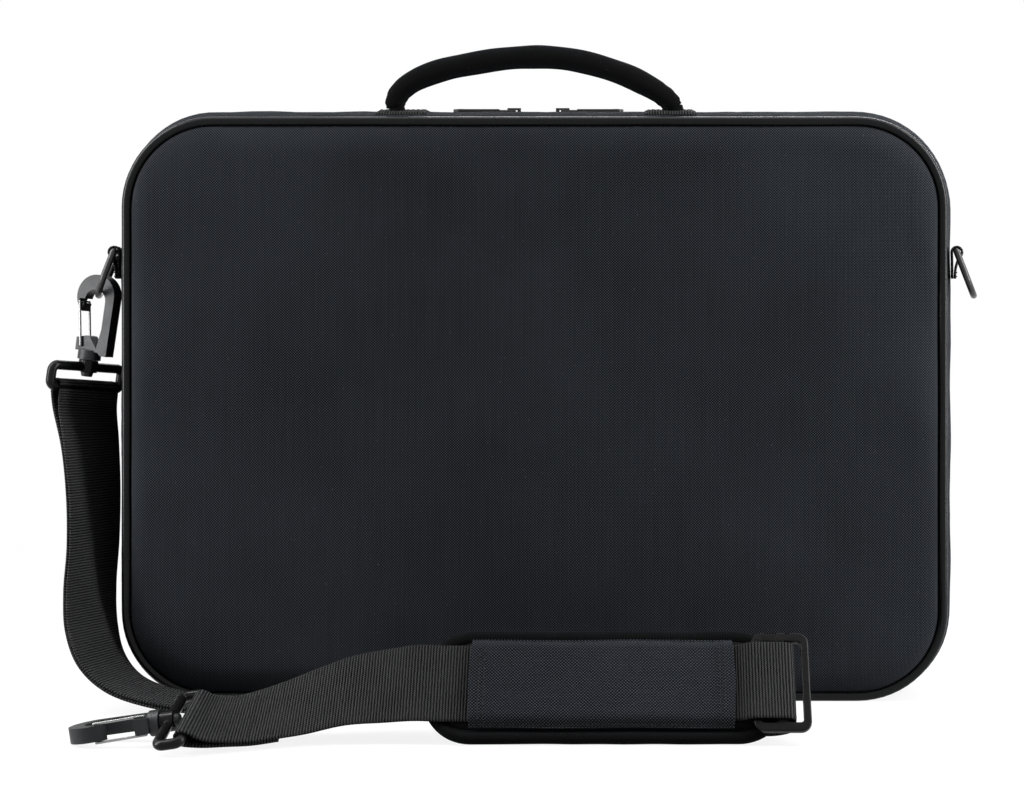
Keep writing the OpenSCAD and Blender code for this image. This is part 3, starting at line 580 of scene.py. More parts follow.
double_route = (
    [on_pad(GLIDE_X + 4.6, 0, 1.7), on_pad(GLIDE_X + 4.6, 0, -6), on_pad(GLIDE_X + 3.4, 0, -9.6),
     on_pad(GLIDE_X, 0, -11.6), on_pad(GLIDE_X - 6, 0, -12.8)]
    + [[GLIDE_X + (SIDE_X + 47 - GLIDE_X) * q[0], REAR_Y + q[1], q[2], 90, q[3]] for q in [
        [0.08, -81, 17, 50], [0.17, -71, 16, 45], [0.26, -59, 13.8, 37], [0.35, -48, 10.8, 27],
        [0.44, -39, 7.8, 17], [0.53, -33, 5.2, 9], [0.62, -29.5, 3.4, 3], [0.76, -28, 2.6, 0],
        [0.9, -27, 2.6, 0], [1, -25.5, 3.2, 0]]]
    + [[SIDE_X + q[0], REAR_Y + q[1], q[2], q[3], 0] for q in [
        [24, -23.5, 6.2, 85], [6, -20.5, 12.5, 78], [-6, -15, 23, 71], [-12.5, -8.5, 38, 66],
        [-15, -1.5, 56, 65], [-15, 5, 78, 65], [-16, 9.5, 103, 63], [-18.5, 13, 127, 59]]])
LEAN_A = math.radians(8)
HOOK_A = np.array([-224.765, -18.4025, 173.222])
BAR_A = HOOK_A - BAR_REACH * np.array([math.sin(LEAN_A), 0, math.cos(LEAN_A)])
LIE_A = [55.3, -4.6]
LAYER = WEB_T / 2 + 0.2
below = BAR_A + [0, 0, -10]
outer_route = ([shifted(double_route, i, LAYER) for i in range(len(double_route))]
               + [round_bar(below, LIE_A, [0, 0, -1], 2.2, -90)]
               + [round_bar(BAR_A, LIE_A, [0, 0, -1], TURN_R, a) for a in range(-75, -268, -32)])
inner_route = ([shifted(double_route, i, -LAYER) for i in range(len(double_route))]
               + [round_bar(below, LIE_A, [0, 0, -1], 2.2, 90),
                  round_bar(BAR_A, LIE_A, [0, 0, -1], TURN_R, 74)])
print("points on the routes:", len(single_route), len(outer_route), len(inner_route))

# %% [markdown]
# The webbing itself is a ribbon with rounded edges. Its route is made finer with a smooth curve through
# the same points, and each edge gets a thicker woven border, as real webbing has.

# %% Webbing ribbons
def finer(route, step=2.5):
    """The route with more places, on a centripetal curve through the same points."""
    p = np.array(route, float)
    p = np.vstack([2 * p[0] - p[1], p, 2 * p[-1] - p[-2]])
    out = []
    for i in range(1, len(p) - 2):
        knots = [0.0]
        for j in range(i - 1, i + 2):
            knots.append(knots[-1] + math.sqrt(max(np.linalg.norm(p[j + 1, :3] - p[j, :3]), 0.01)))
        t0, t1, t2, t3 = knots
        pieces = max(1, int(math.ceil(np.linalg.norm(p[i + 1, :3] - p[i, :3]) / step)))
        for k in range(pieces):
            t = t1 + (t2 - t1) * k / pieces
            a1 = p[i - 1] * (t1 - t) / (t1 - t0) + p[i] * (t - t0) / (t1 - t0)
            a2 = p[i] * (t2 - t) / (t2 - t1) + p[i + 1] * (t - t1) / (t2 - t1)
            a3 = p[i + 1] * (t3 - t) / (t3 - t2) + p[i + 2] * (t - t2) / (t3 - t2)
            b1 = a1 * (t2 - t) / (t2 - t0) + a2 * (t - t0) / (t2 - t0)
            b2 = a2 * (t3 - t) / (t3 - t1) + a3 * (t - t1) / (t3 - t1)
            out.append(b1 * (t2 - t) / (t2 - t1) + b2 * (t - t1) / (t2 - t1))
    out.append(p[-2])
    return np.array(out)


def ribbon(name, route):
    """Webbing along a route, and the places along its middle in metres."""
    places = finer(route)
    half, t = WEB_W / 2, WEB_T / 2
    shares = [-1, -0.985, -0.93, -0.86, -0.6, -0.3, 0, 0.3, 0.6, 0.86, 0.93, 0.985, 1]
    border = [0.25, 0.85, 1.08, 0.92, 0.95, 0.97, 0.97, 0.97, 0.95, 0.92, 1.08, 0.85, 0.25]
    rings = []
    for i, p in enumerate(places):
        w = width_dir(p[3], p[4])
        ahead = places[min(i + 1, len(places) - 1), :3] - places[max(i - 1, 0), :3]
        n = np.cross(ahead, w)
        n /= np.linalg.norm(n)
        top = [p[:3] + w * half * q + n * (t * b) for q, b in zip(shares, border)]
        under = [p[:3] + w * half * q - n * (t * b) for q, b in zip(shares, border)]
        rings.append(top + under[::-1])
    return skin(name, rings, ends=True), [list(p[:3] * mm) for p in places]


def strap_piece(name, route, node):
    made, path = ribbon(name, route)
    finish_piece(made, "rear_half", "webbing", WEBBING, node)
    run = np.linalg.norm(np.diff(np.array(path), axis=0), axis=1).sum()
    print(f"{name}: {run:.3f} m of webbing")
    return made


strap_piece("webbing_single", single_route, "strap_single")
strap_piece("webbing_outer", outer_route, "strap_outer")
strap_piece("webbing_inner", inner_route, "strap_inner")

# %% [markdown]
# ## The outline of the case
# Panels, side walls, piping and zip all follow one rounded rectangle that stands on the floor. One
# function walks round it, and every piece says how far outside the line and how deep it lies.

# %% Outline and swell
LID_Y, ZIP_Y, MID_Y, BULGE, EDGE_IN = 30.0, 8.0, -3.0, 6.0, 1.2
BULGE_R = ((LID_Y - REAR_Y) ** 2 / 4 + BULGE ** 2) / (2 * BULGE)
ZIP_END = 55.0


def swell(y):
    """How far the side wall stands outside the outline at a depth."""
    return BULGE - BULGE_R + math.sqrt(BULGE_R ** 2 - (y - MID_Y) ** 2) - EDGE_IN


def outline(inset=0.0, w=CASE_W, h=CASE_H, r=CORNER_R, lift=0.0, long=66, tall=44, turn=16):
    """Places (x, z, outward x, outward z) round a rounded rectangle, from the middle of its bottom."""
    a, b, k = w / 2 - r, h - 2 * r, max(r - inset, 0.6)
    if r - inset < 0.6:
        a, b = w / 2 - inset - k, h - 2 * inset - 2 * k
    z0 = lift + (h - b) / 2 - k
    out = []
    for i in range(long // 2):
        out.append((a * i / (long // 2), z0, 0.0, -1.0))
    corners = [(a, z0 + k, -90), (a, z0 + k + b, 0), (-a, z0 + k + b, 90), (-a, z0 + k, 180)]
    runs = [tall, long, tall, long // 2]
    for (cx, cz, start), count in zip(corners, runs):
        for i in range(turn + 1):
            t = math.radians(start + 90 * i / turn)
            out.append((cx + k * math.cos(t), cz + k * math.sin(t), math.cos(t), math.sin(t)))
        t = math.radians(start + 90)
        nx, nz = math.cos(t), math.sin(t)
        x, z = out[-1][:2]
        ex, ez = {-90: (a + k, z0 + k + b), 0: (-a, z), 90: (x, z0 + k), 180: (0.0, z0)}[start]
        for i in range(1, count):
            out.append((x + (ex - x) * i / count, z + (ez - z) * i / count, nx, nz))
    return out


print("places round the case:", len(outline()))

# %% [markdown]
# ## The rear panel
# The rear panel is cloth stretched over a stiff board with a thin foam. At its rim the cloth rolls down
# into the seam beside the piping, so the rim catches the side light and a dark crease lies next to it.
# From the roll it rises a little more, like a cushion, with faint dents that only raking light shows.

# %% Rear panel
def panel(name, seam_y, side, inset):
    """Rings of places from the seam inwards over a rolled rim to the middle."""
    sink, roll, rise, puff, dent = 2.2, 13.0, 4.0, 0.9, 0.4
    depths = [0, 0.12, 0.4, 0.9, 1.6, 2.5, 3.6, 5, 6.5, 8.5, 11, 14, 17, 20, 23, 26, 32, 40, 50, 62, 76,
              92, 110, 128, 0.5 * CASE_H - inset - 4]
    rings = []
    for d in depths:
        ring = []
        for x, z, _, _ in outline(inset + d):
            q = min(d / roll, 1.0)
            far = min(d / 90.0, 1.0)
            up = (rise + sink) * math.sqrt(1 - (1 - q) ** 2) - sink + puff * math.sin(math.pi / 2 * far)
            calm = min(d / 12.0, 1.0)
            rim = math.exp(-d / 45.0)
            wave = (noise.noise(Vector((x, z, 7.0)) * 0.011) * 0.7
                    + noise.noise(Vector((x, z, 3.0)) * 0.03) * 0.3)
            crease = noise.noise(Vector((x * 0.02 + z * 0.008, z * 0.024, 1.0))) * 3.4
            ring.append((x, seam_y + side * (up + (dent * wave + rim * crease) * calm), z))
        rings.append(ring)
    made = skin(name, rings, flat_uv=True)
    last = (len(rings) - 1) * len(rings[0])
    work = bmesh.new()
    work.from_mesh(made.data)
    work.verts.ensure_lookup_table()
    middle = work.faces.new([work.verts[last + i] for i in range(len(rings[0]))])
    layer = work.loops.layers.uv.active
    for corner in middle.loops:
        corner[layer].uv = (corner.vert.co.x, corner.vert.co.z)
    middle.smooth = True
    bmesh.ops.recalc_face_normals(work, faces=work.faces)
    work.to_mesh(made.data)
    work.free()
    return made


rear_cloth = panel("rear_panel_cloth", REAR_Y, -1, 4.45)
finish_piece(rear_cloth, "rear_half", "shell_fabric", SHELL, "rear_panel")
print("rear panel:", len(rear_cloth.data.polygons), "faces")

# %% [markdown]
# ## Side walls
# The side wall of each half is a long strip of padded cloth that goes all round. It swells out in the
# middle of its depth, it is pulled in a little at the corners, and beside the zip its edge is turned
# under and stitched. Low down, where the zip ends, the two walls meet at the hinge.

# %% Gussets
def wall_side(y0, y1, zip_side):
    """Rings of places for one half's wall. zip_side is the edge, 0 or 1, that is cut back for the zip."""
    cut, count = 8.95, 14
    rings = []
    for x, z, nx, nz in outline():
        free = min(max((z - ZIP_END + 4) / 8, 0.0), 1.0)
        lo = y0 + (cut * free if zip_side == 0 else 0.0)
        hi = y1 - (cut * free if zip_side == 1 else 0.0)
        ring = []
        for j in range(count + 1):
            y = lo + (hi - lo) * j / count
            edge = min(j, count - j) / count * 2
            pucker = (noise.noise(Vector((x, y, z)) * 0.16) * 0.35 * (1 - edge)
                      + noise.noise(Vector((x, y * 2, z)) * 0.035) * 0.8)
            off = swell(y) + pucker * min(edge * 4, 1.0) - (0.5 if j in (0, count) else 0.0)
            if nz < -0.9:
                off = -0.1
            ring.append((x + nx * off, y, max(z + nz * off, 0.15)))
        for j in range(count, -1, -2):
            y = lo + (hi - lo) * j / count
            off = swell(y) - 2.4
            ring.append((x + nx * off, y + (0.4 if j == 0 else -0.4 if j == count else 0.0),
                         max(z + nz * off, 2.5)))
        rings.append(ring)
    return rings


rear_wall = skin("rear_wall_cloth", wall_side(REAR_Y + 3.25, ZIP_Y - 0.2, 1), loop=True)
finish_piece(rear_wall, "rear_half", "shell_fabric", SHELL, "rear_gusset")
lid_wall = skin("lid_wall_cloth", wall_side(ZIP_Y + 0.2, LID_Y - 3.25, 0), loop=True)
finish_piece(lid_wall, "lid_half", "shell_fabric", SHELL, "lid_gusset")
print("walls:", len(rear_wall.data.polygons), len(lid_wall.data.polygons), "faces")

# %% [markdown]
# ## Piping
# The seams between panel and wall are covered by piping: a cord wrapped in smooth vinyl, with its two
# edges sewn into the seam. It is a round tube whose back is
# drawn in a little where the seam holds it.

# %% Piping
PIPING_D = 4.4


def piping(name, y, w=CASE_W, h=CASE_H, r=CORNER_R, lift=0.0):
    rings = []
    sides = 16
    for x, z, nx, nz in outline(0.0, w, h, r, lift):
        ring = []
        for j in range(sides):
            a = 2 * math.pi * j / sides
            rad = PIPING_D / 2 * (1 + 0.025 * noise.noise(Vector((x, z, a)) * 0.11))
            out, deep = rad * math.cos(a) - PIPING_D / 2, rad * math.sin(a)
            if math.cos(a) < -0.9:
                out -= 0.5
            ring.append((x + nx * out, y + deep, max(z + nz * out, 0.05)))
        rings.append(ring)
    return skin(name, rings, loop=True)


finish_piece(piping("rear_piping_vinyl", REAR_Y + 1), "rear_half", "piping_vinyl", VINYL, "rear_piping")
finish_piece(piping("lid_piping_vinyl", LID_Y - 1), "lid_half", "piping_vinyl", VINYL, "lid_piping")
print("piping on both seams")

# %% [markdown]
# ## Sweeps, plates and stitches
# Most of the other soft parts are one of three things: a section carried along a line, a flat piece with
# rounded edges, or a row of stitches. Each gets one helper.

# %% Sweep helper
def sweep(name, line, section, side=(0.0, 1.0, 0.0)):
    """Carries a section along a line. section(share) gives (across, out) offsets in mm, and side is the
    direction that across points in."""
    line = np.array(line, float)
    count = len(line)
    rings = []
    for i, p in enumerate(line):
        ahead = line[min(i + 1, count - 1)] - line[max(i - 1, 0)]
        ahead = ahead / np.linalg.norm(ahead)
        w = np.array(side, float)
        w = w - ahead * np.dot(w, ahead)
        w /= np.linalg.norm(w)
        n = np.cross(ahead, w)
        rings.append([p + w * a + n * b for a, b in section(i / (count - 1))])
    return skin(name, rings, ends=True)


def smooth_line(points, step=2.0):
    """A finer line on a smooth curve through the points."""
    return finer([[*p, 0, 0] for p in points], step)[:, :3]


def band(width, thick, count=9):
    """The section of a flat band with rounded edges."""
    half = []
    for k in range(count):
        q = math.cos(math.pi * k / (count - 1))
        half.append((width / 2 * q, thick / 2 * min(1.0, math.sqrt(max(1 - q * q, 0)) * 2.2)))
    return half + [(a, -b) for a, b in half[-2:0:-1]]


def oval(wide, thick, sides=20):
    return [(wide / 2 * math.cos(2 * math.pi * k / sides), thick / 2 * math.sin(2 * math.pi * k / sides))
            for k in range(sides)]


print("sweep helper ready")

# %% Plate helper
def plate(name, w, h, r, lift, y_back, y_front, edge, puff=0.0, wave=0.0):
    """A closed flat piece that stands in the XZ plane. Its edges are rounded by edge mm, and its front
    face, at y_front, rises by puff towards its middle."""
    thick, side = abs(y_front - y_back), 1 if y_front > y_back else -1
    deep = [0.5 * h - 5, 0.38 * h, 0.27 * h, 0.18 * h, 0.1 * h, edge * 1.6]
    cuts = [(d, 0.0) for d in deep]
    for k in range(7):
        a = math.pi / 2 * k / 6
        cuts.append((edge * (1 - math.sin(a)), min(edge, thick / 2) * (1 - math.cos(a))))
    for k in range(1, 7):
        a = math.pi / 2 * k / 6
        cuts.append((edge * (1 - math.cos(a)), thick - min(edge, thick / 2) * (1 - math.sin(a))))
    cuts += [(d, thick) for d in deep[::-1]]
    rings = []
    for n, (inset, up) in enumerate(cuts):
        ring = []
        for x, z, _, _ in outline(inset, w, h, r, lift, 44, 30, 12):
            rise = 0.0
            if n > len(cuts) / 2 and inset > edge:
                share = min(inset / (0.25 * h), 1.0)
                rise = puff * share * share * (3 - 2 * share) + wave * noise.noise(Vector((x, z, 5)) * 0.02)
            ring.append((x, y_back + side * (up + rise), z))
        rings.append(ring if side > 0 else ring[::-1])
    return skin(name, rings, ends=True, flat_uv=True)


print("plate helper ready")

# %% [markdown]
# ### Stitches
# A lockstitch shows as a row of short thread humps that dive into the cloth at both ends. Each hump here
# is a small bent prism, and a whole seam is one object.

# %% Stitch helper
def stitches(name, seams, body, pitch=3.0, thread=0.55, height=0.22):
    """seams is a list of (points, outward directions), in mm."""
    verts, faces = [], []
    for points, outs in seams:
        points, outs = np.array(points, float), np.array(outs, float)
        steps = np.linalg.norm(np.diff(points, axis=0), axis=1)
        far = np.concatenate([[0], steps.cumsum()])
        for k in range(max(1, int(far[-1] / pitch))):
            a, b = k * pitch + 0.3, (k + 1) * pitch - 0.3
            hump = []
            for t, up in ((0.0, -0.25), (0.2, 0.6), (0.5, 1.0), (0.8, 0.6), (1.0, -0.25)):
                s = a + (b - a) * t
                p = np.array([np.interp(s, far, points[:, c]) for c in range(3)])
                o = np.array([np.interp(s, far, outs[:, c]) for c in range(3)])
                hump.append((p, o / np.linalg.norm(o), up))
            ahead = hump[-1][0] - hump[0][0]
            ahead /= np.linalg.norm(ahead)
            first = len(verts)
            for p, o, up in hump:
                w = np.cross(ahead, o)
                w /= np.linalg.norm(w)
                thin = 0.5 if up < 0 else 1.0
                for q in range(6):
                    c, s = math.cos(math.pi * q / 3), math.sin(math.pi * q / 3)
                    up_by = height * up + thread / 2 * thin * s * 0.8
                    verts.append((p + w * thread / 2 * thin * c + o * up_by) * mm)
            for r in range(4):
                for q in range(6):
                    faces.append((first + r * 6 + q, first + r * 6 + (q + 1) % 6,
                                  first + (r + 1) * 6 + (q + 1) % 6, first + (r + 1) * 6 + q))
    mesh = bpy.data.meshes.new(name)
    mesh.from_pydata([tuple(v) for v in verts], [], faces)
    mesh.polygons.foreach_set("use_smooth", [True] * len(faces))
    return finish_piece(add_object(name, mesh), body, "trim_fabric", THREAD)


def walk(a, b, out, count=12):
    """A straight seam from a to b with one outward direction."""
    a, b = np.array(a, float), np.array(b, float)
    return [a + (b - a) * k / count for k in range(count + 1)], [out] * (count + 1)


print("stitch helper ready")

# %% [markdown]
# ## The zip
# A coil zip is two tapes, each with a coiled thread of nylon along its edge. The turns of one coil sit
# between the turns of the other. Each coil is a thin thread wound as a helix along the outline.

# %% Tapes and coils
COIL_OFF = swell(ZIP_Y) - 1.9


def zip_run(low=ZIP_END + 0.4):
    """The outline from the zip's right end over the top to its left end."""
    places = [p for p in outline(long=66, tall=60) if p[1] > low + 1.5 and (abs(p[0]) > 1 or p[1] > 100)]
    x = places[0][0]
    return [(x, low, 1.0, 0.0)] + places + [(-x, low, -1.0, 0.0)]


def zip_tape(name, side, body, node):
    y0, y1 = ZIP_Y + side * 2.9, ZIP_Y + side * 8.8
    o0, o1 = COIL_OFF + 0.2, swell(y1) - 1.3
    rings = []
    for x, z, nx, nz in zip_run(ZIP_END - 5.0):
        ring = []
        for t in (0, 0.2, 0.4, 0.6, 0.8, 1.0):
            sag = 0.25 * math.sin(math.pi * t)
            off = o0 + (o1 - o0) * t - sag
            ring.append((x + nx * off, y0 + (y1 - y0) * t, z + nz * off))
        for t in (1.0, 0.5, 0.0):
            off = o0 + (o1 - o0) * t - 0.9
            ring.append((x + nx * off, y0 + (y1 - y0) * t, z + nz * off))
        rings.append(ring)
    return finish_piece(skin(name, rings, ends=True), body, "trim_fabric", TAPE, node)


def spiral(name, line, outs, deeps, side, pitch=1.35, phase=0.0):
    """A helix of nylon thread along a line. outs point away from the case and deeps along its depth."""
    line, outs, deeps = (np.array(q, float) for q in (line, outs, deeps))
    far = np.concatenate([[0], np.linalg.norm(np.diff(line, axis=0), axis=1).cumsum()])
    turns = int(far[-1] / pitch)
    per = 8
    rings = []
    centres = []
    for k in range(turns * per):
        a = 2 * math.pi * (k / per + phase)
        s = k * pitch / per
        p, o, d = (np.array([np.interp(s, far, q[:, c]) for c in range(3)]) for q in (line, outs, deeps))
        centres.append((p + o * 0.64 * math.cos(a) + d * side * (1.75 + 1.2 * math.sin(a)), o))
    for k, (c, o) in enumerate(centres):
        ahead = centres[min(k + 1, len(centres) - 1)][0] - centres[max(k - 1, 0)][0]
        ahead /= np.linalg.norm(ahead)
        w = np.cross(ahead, o + 0.01)
        w /= np.linalg.norm(w)
        n = np.cross(ahead, w)
        rings.append([c + 0.34 * (w * math.cos(q) + n * math.sin(q)) for q in (0, 1.257, 2.513, 3.77, 5.027)])
    return skin(name, rings, ends=True)


def case_coil(name, side, body, node, phase):
    run = zip_run(ZIP_END + 1.0)
    line = [(x + nx * COIL_OFF, ZIP_Y, z + nz * COIL_OFF) for x, z, nx, nz in run]
    made = spiral(name, line, [(nx, 0, nz) for _, _, nx, nz in run], [(0, 1, 0)] * len(run), side,
                  phase=phase)
    return finish_piece(made, body, "zip_coil", COIL, node)


zip_tape("rear_tape_cloth", -1, "rear_half", "rear_zip_tape")
zip_tape("lid_tape_cloth", 1, "lid_half", "lid_zip_tape")
rear_coil = case_coil("rear_coil_thread", -1, "rear_half", "rear_zip_coil", 0.0)
case_coil("lid_coil_thread", 1, "lid_half", "lid_zip_coil", 0.5)
print("coil faces:", len(rear_coil.data.polygons))

# %% [markdown]
# ## The handle
# The handle is a soft core rolled in stretch cloth. It rises in a flat arch, a little steeper on the
# left, and its ends thin out where the cloth is gathered and sewn down. A seam runs along its underside.
# Where each end is sewn to the case a short web bends when the handle is folded; here each web is a short
# tapering foot.

# %% Handle
ATTACH_Y = REAR_Y + 19
PATCH_X = 67.5
grip_line = smooth_line([(x, ATTACH_Y, z) for x, z in [
    (-71.2, 295.6), (-71.0, 299.0), (-68.8, 303.6), (-63.0, 308.6), (-54.5, 312.7), (-45, 315.6),
    (-34, 317.9), (-20, 320.2), (-6, 321.4), (7, 321.4), (20, 319.8), (33, 316.6), (45, 312.4),
    (54, 308.2), (61, 304.2), (66.4, 300.0), (69.6, 295.8)]], 1.6)


def grip_section(share):
    end = min(share, 1 - share)
    r = 5.85 * (0.86 + 0.14 * min(end / 0.14, 1.0)) * (1 + 0.02 * math.sin(share * 40))
    if end < 0.012:
        r *= 0.88
    ring = []
    for k in range(28):
        a = 2 * math.pi * k / 28
        crease = 0.0
        for at, deep in ((0.035, 0.5), (0.07, 0.35), (0.93, 0.4), (0.965, 0.5)):
            crease += deep * math.exp(-((share - at) / 0.008) ** 2)
        seam = 0.55 * math.exp(-((a - 4.3) / 0.12) ** 2)
        lump = 0.12 * noise.noise(Vector((share * 14, math.cos(a) * 1.4, math.sin(a) * 1.4)))
        rr = r - crease * 0.6 - seam + lump
        ring.append((rr * math.cos(a), rr * math.sin(a)))
    return ring


grip = sweep("handle_wrap", grip_line, grip_section)
finish_piece(grip, "handle", "grip_wrap", WRAP, "handle_grip")


def grip_foot(side):
    x = side * 70.2
    line = [(x, ATTACH_Y, z) for z in np.linspace(293.6, 297.4, 8)]
    made = sweep(side_name("handle_foot_", side), line, lambda t: oval(9.8 - 2.2 * t, 9.0 - 2.0 * t, 24))
    made.data.materials.append(WRAP)
    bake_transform(made)
    return made


for side in (-1, 1):
    grip_foot(side)
print("handle wrap:", len(grip.data.polygons), "faces")

# %% [markdown]
# Each foot is sewn through a small patch of webbing on the top of the case, with a box of stitches.

# %% Patches under the handle
def top_surface(x, y, lift=0.0):
    return (x, y, CASE_H + swell(y) + lift)


def patch(side):
    rings = []
    for i in range(15):
        u = -1 + 2 * i / 14
        ring = []
        for j in range(13):
            v = -1 + 2 * j / 12
            edge = min(1.0, (1 - max(abs(u), abs(v))) * 9)
            ring.append(top_surface(side * PATCH_X + 13 * u, ATTACH_Y + 11 * v,
                                    0.25 + 0.85 * math.sqrt(max(edge, 0.0))))
        rings.append(ring)
    return skin(side_name("handle_patch_", side), rings, wrap=False)


for side in (-1, 1):
    made = patch(side)
    thicken(made, 0.6)
    finish_piece(made, "rear_half", "webbing", WEBBING, "handle_anchors")
seams = []
for side in (-1, 1):
    for sx, sy, ex, ey in ((-11, -9, 11, -9), (11, -9, 11, 9), (11, 9, -11, 9), (-11, 9, -11, -9)):
        points = [top_surface(side * PATCH_X + sx + (ex - sx) * k / 8, ATTACH_Y + sy + (ey - sy) * k / 8,
                              1.1) for k in range(9)]
        seams.append((points, [(0, 0, 1)] * 9))
stitches("handle_patch_stitches", seams, "rear_half", pitch=2.6, thread=0.4, height=0.1)
print("patches sewn down")

# %% [markdown]
# The end of the strap is sewn to itself behind the loose hook's eye, with two rows across the webbing.

# %% Strap end stitches
free = finer(free_run, 1.0)
seams = []
far = np.concatenate([[0], np.linalg.norm(np.diff(free[:, :3], axis=0), axis=1).cumsum()])
for reach in (7.0, 19.0):
    i = int(np.searchsorted(far, reach))
    p, w = free[i, :3], width_dir(free[i, 3], free[i, 4])
    out = np.cross(free[i + 1, :3] - free[i - 1, :3], w)
    out /= np.linalg.norm(out)
    out = out if out[1] < 0 else -out
    seams.append(walk(p + out * 0.68 - w * 16.5, p + out * 0.68 + w * 16.5, out))
stitches("strap_end_stitches", seams, "rear_half", pitch=2.4, thread=0.5, height=0.2)
print("strap end sewn")

# %% [markdown]
# ## Ring tabs
# A short piece of webbing goes round each ring's bar, and both ends are sewn into the side wall.

# %% Ring tabs
SLOPE = math.asin((MID_Y - ATTACH_Y) / BULGE_R)
RING_X, RING_Z, BAR_OFF = CASE_W / 2 + swell(ATTACH_Y), 223.0, 3.35


def by_ring(side, x, y, z):
    """A place in the frame of a ring's bar: x outward, y along the bar, z up."""
    x += BAR_OFF
    c, s = math.cos(-SLOPE), math.sin(-SLOPE)
    return (side * (RING_X + c * x - s * y), ATTACH_Y + s * x + c * y, RING_Z + z)


def ring_tab(side, node):
    turn = [(2.6 * math.cos(math.radians(a)), 2.6 * math.sin(math.radians(a))) for a in range(180, -61, -20)]
    flat = [(-2.45, -13.2), (-2.45, -8), (-2.5, -3)] + turn + [(0.3, -4.6), (-0.7, -8.2), (-1.05, -13.2)]
    line = smooth_line([by_ring(side, x, 0, z) for x, z in flat], 1.0)
    across = np.array(by_ring(side, 0, 1, 0)) - np.array(by_ring(side, 0, 0, 0))
    made = sweep(side_name("ring_web_", side), line, lambda t: band(25, 1.25), side=across)
    return finish_piece(made, "rear_half", "webbing", WEBBING, node)


ring_tab(-1, "ring_tab_left")
ring_tab(1, "ring_tab_right")
seams = []
for side in (-1, 1):
    out = np.array(by_ring(side, 1, 0, 0)) - np.array(by_ring(side, 0, 0, 0))
    for z in (-10.2, -12.2):
        seams.append(walk(by_ring(side, -0.25, -11, z), by_ring(side, -0.25, 11, z), out))
stitches("ring_web_stitches", seams, "rear_half", pitch=2.4)
print("ring tabs at z", RING_Z)

# %% [markdown]
# ## The front of the case
# The front has a flat stiff panel, and on it a shallow pocket with its own piping and zip. The pocket's
# cloth is rolled at its edge and cut open where the zip is sewn in.

# %% Front panel and pocket
POCKET_W, POCKET_H, POCKET_Z, POCKET_FACE = 330.0, 205.0, 22.0, 39.0
POCKET_R, POCKET_ZIP_Z, POCKET_ZIP_L = 32, POCKET_Z + 179, 274.0
front = plate("lid_panel_cloth", CASE_W - 8.9, CASE_H - 8.9, CORNER_R - 4.45, 4.45, LID_Y - 3.4,
              LID_Y - 0.1, 1.6)
finish_piece(front, "lid_half", "shell_fabric", SHELL, "lid_panel")


def box_mesh(name, low, high):
    """A closed box used only to cut with."""
    (a, b, c), (d, e, f) = np.array(low) * mm, np.array(high) * mm
    mesh = bpy.data.meshes.new(name)
    corners = [(a, b, c), (d, b, c), (d, e, c), (a, e, c), (a, b, f), (d, b, f), (d, e, f), (a, e, f)]
    mesh.from_pydata(corners, [], [(0, 3, 2, 1), (4, 5, 6, 7), (0, 1, 5, 4), (1, 2, 6, 5), (2, 3, 7, 6),
                                   (3, 0, 4, 7)])
    return add_object(name, mesh)


def bake(made):
    """Puts the result of the modifiers into the mesh."""
    done = bpy.data.meshes.new_from_object(made.evaluated_get(bpy.context.evaluated_depsgraph_get()))
    made.modifiers.clear()
    made.data = done
    return made


def cut_box(made, low, high):
    cutter = box_mesh("cutter", low, high)
    cut = made.modifiers.new("cut", "BOOLEAN")
    cut.operation, cut.solver, cut.object = "DIFFERENCE", "EXACT", cutter
    bake(made)
    bpy.data.objects.remove(cutter)
    return made


pocket = plate("pocket_cloth", POCKET_W, POCKET_H, POCKET_R, POCKET_Z, LID_Y + 0.2, POCKET_FACE, 7.0,
               puff=0.25, wave=0.3)
half = POCKET_ZIP_L / 2
cut_box(pocket, (-half, POCKET_FACE - 5.2, POCKET_ZIP_Z - 5.3), (half, POCKET_FACE + 5, POCKET_ZIP_Z + 5.3))
cut_box(pocket, (-half, POCKET_FACE - 1.4, POCKET_ZIP_Z - 8.9), (half, POCKET_FACE + 5, POCKET_ZIP_Z + 8.9))
finish_piece(pocket, "lid_half", "shell_fabric", SHELL, "front_pocket")
finish_piece(piping("pocket_piping_vinyl", LID_Y + 2.35, POCKET_W, POCKET_H, POCKET_R, POCKET_Z), "lid_half",
             "piping_vinyl", VINYL, "pocket_piping")
for sign, name in ((-1, "low"), (1, "high")):
    z0, z1 = POCKET_ZIP_Z + sign * 2.6, POCKET_ZIP_Z + sign * 8.7
    line = [(x, POCKET_FACE - 0.75, (z0 + z1) / 2) for x in np.linspace(-half + 0.4, half - 0.4, 60)]
    made = sweep("pocket_tape_" + name, line, lambda t: band(6.1, 0.8), side=(0, 0, 1))
    finish_piece(made, "lid_half", "trim_fabric", TAPE, "pocket_zip_tape")
    xs = np.linspace(-half + 2, half - 2, 30)
    made = spiral("pocket_coil_" + name, [(x, POCKET_FACE - 1.2, POCKET_ZIP_Z) for x in xs], [(0, 1, 0)] * 30,
                  [(0, 0, 1)] * 30, sign, phase=0.25 + 0.25 * sign)
    finish_piece(made, "lid_half", "zip_coil", COIL, "pocket_zip_coil")
seams = [walk((-half + 1, POCKET_FACE + 0.12, z), (half - 1, POCKET_FACE + 0.12, z), (0, 1, 0), 60)
         for z in (POCKET_ZIP_Z - 10.6, POCKET_ZIP_Z + 10.6)]
stitches("pocket_zip_stitches", seams, "lid_half")
print("pocket:", len(pocket.data.polygons), "faces")

# %% [markdown]
# ## Inside the case
# Both halves are lined with brushed cloth over thin foam. Two hook-and-loop straps hold the laptop, and
# the lid has a flat pocket for papers with an elastic hem.

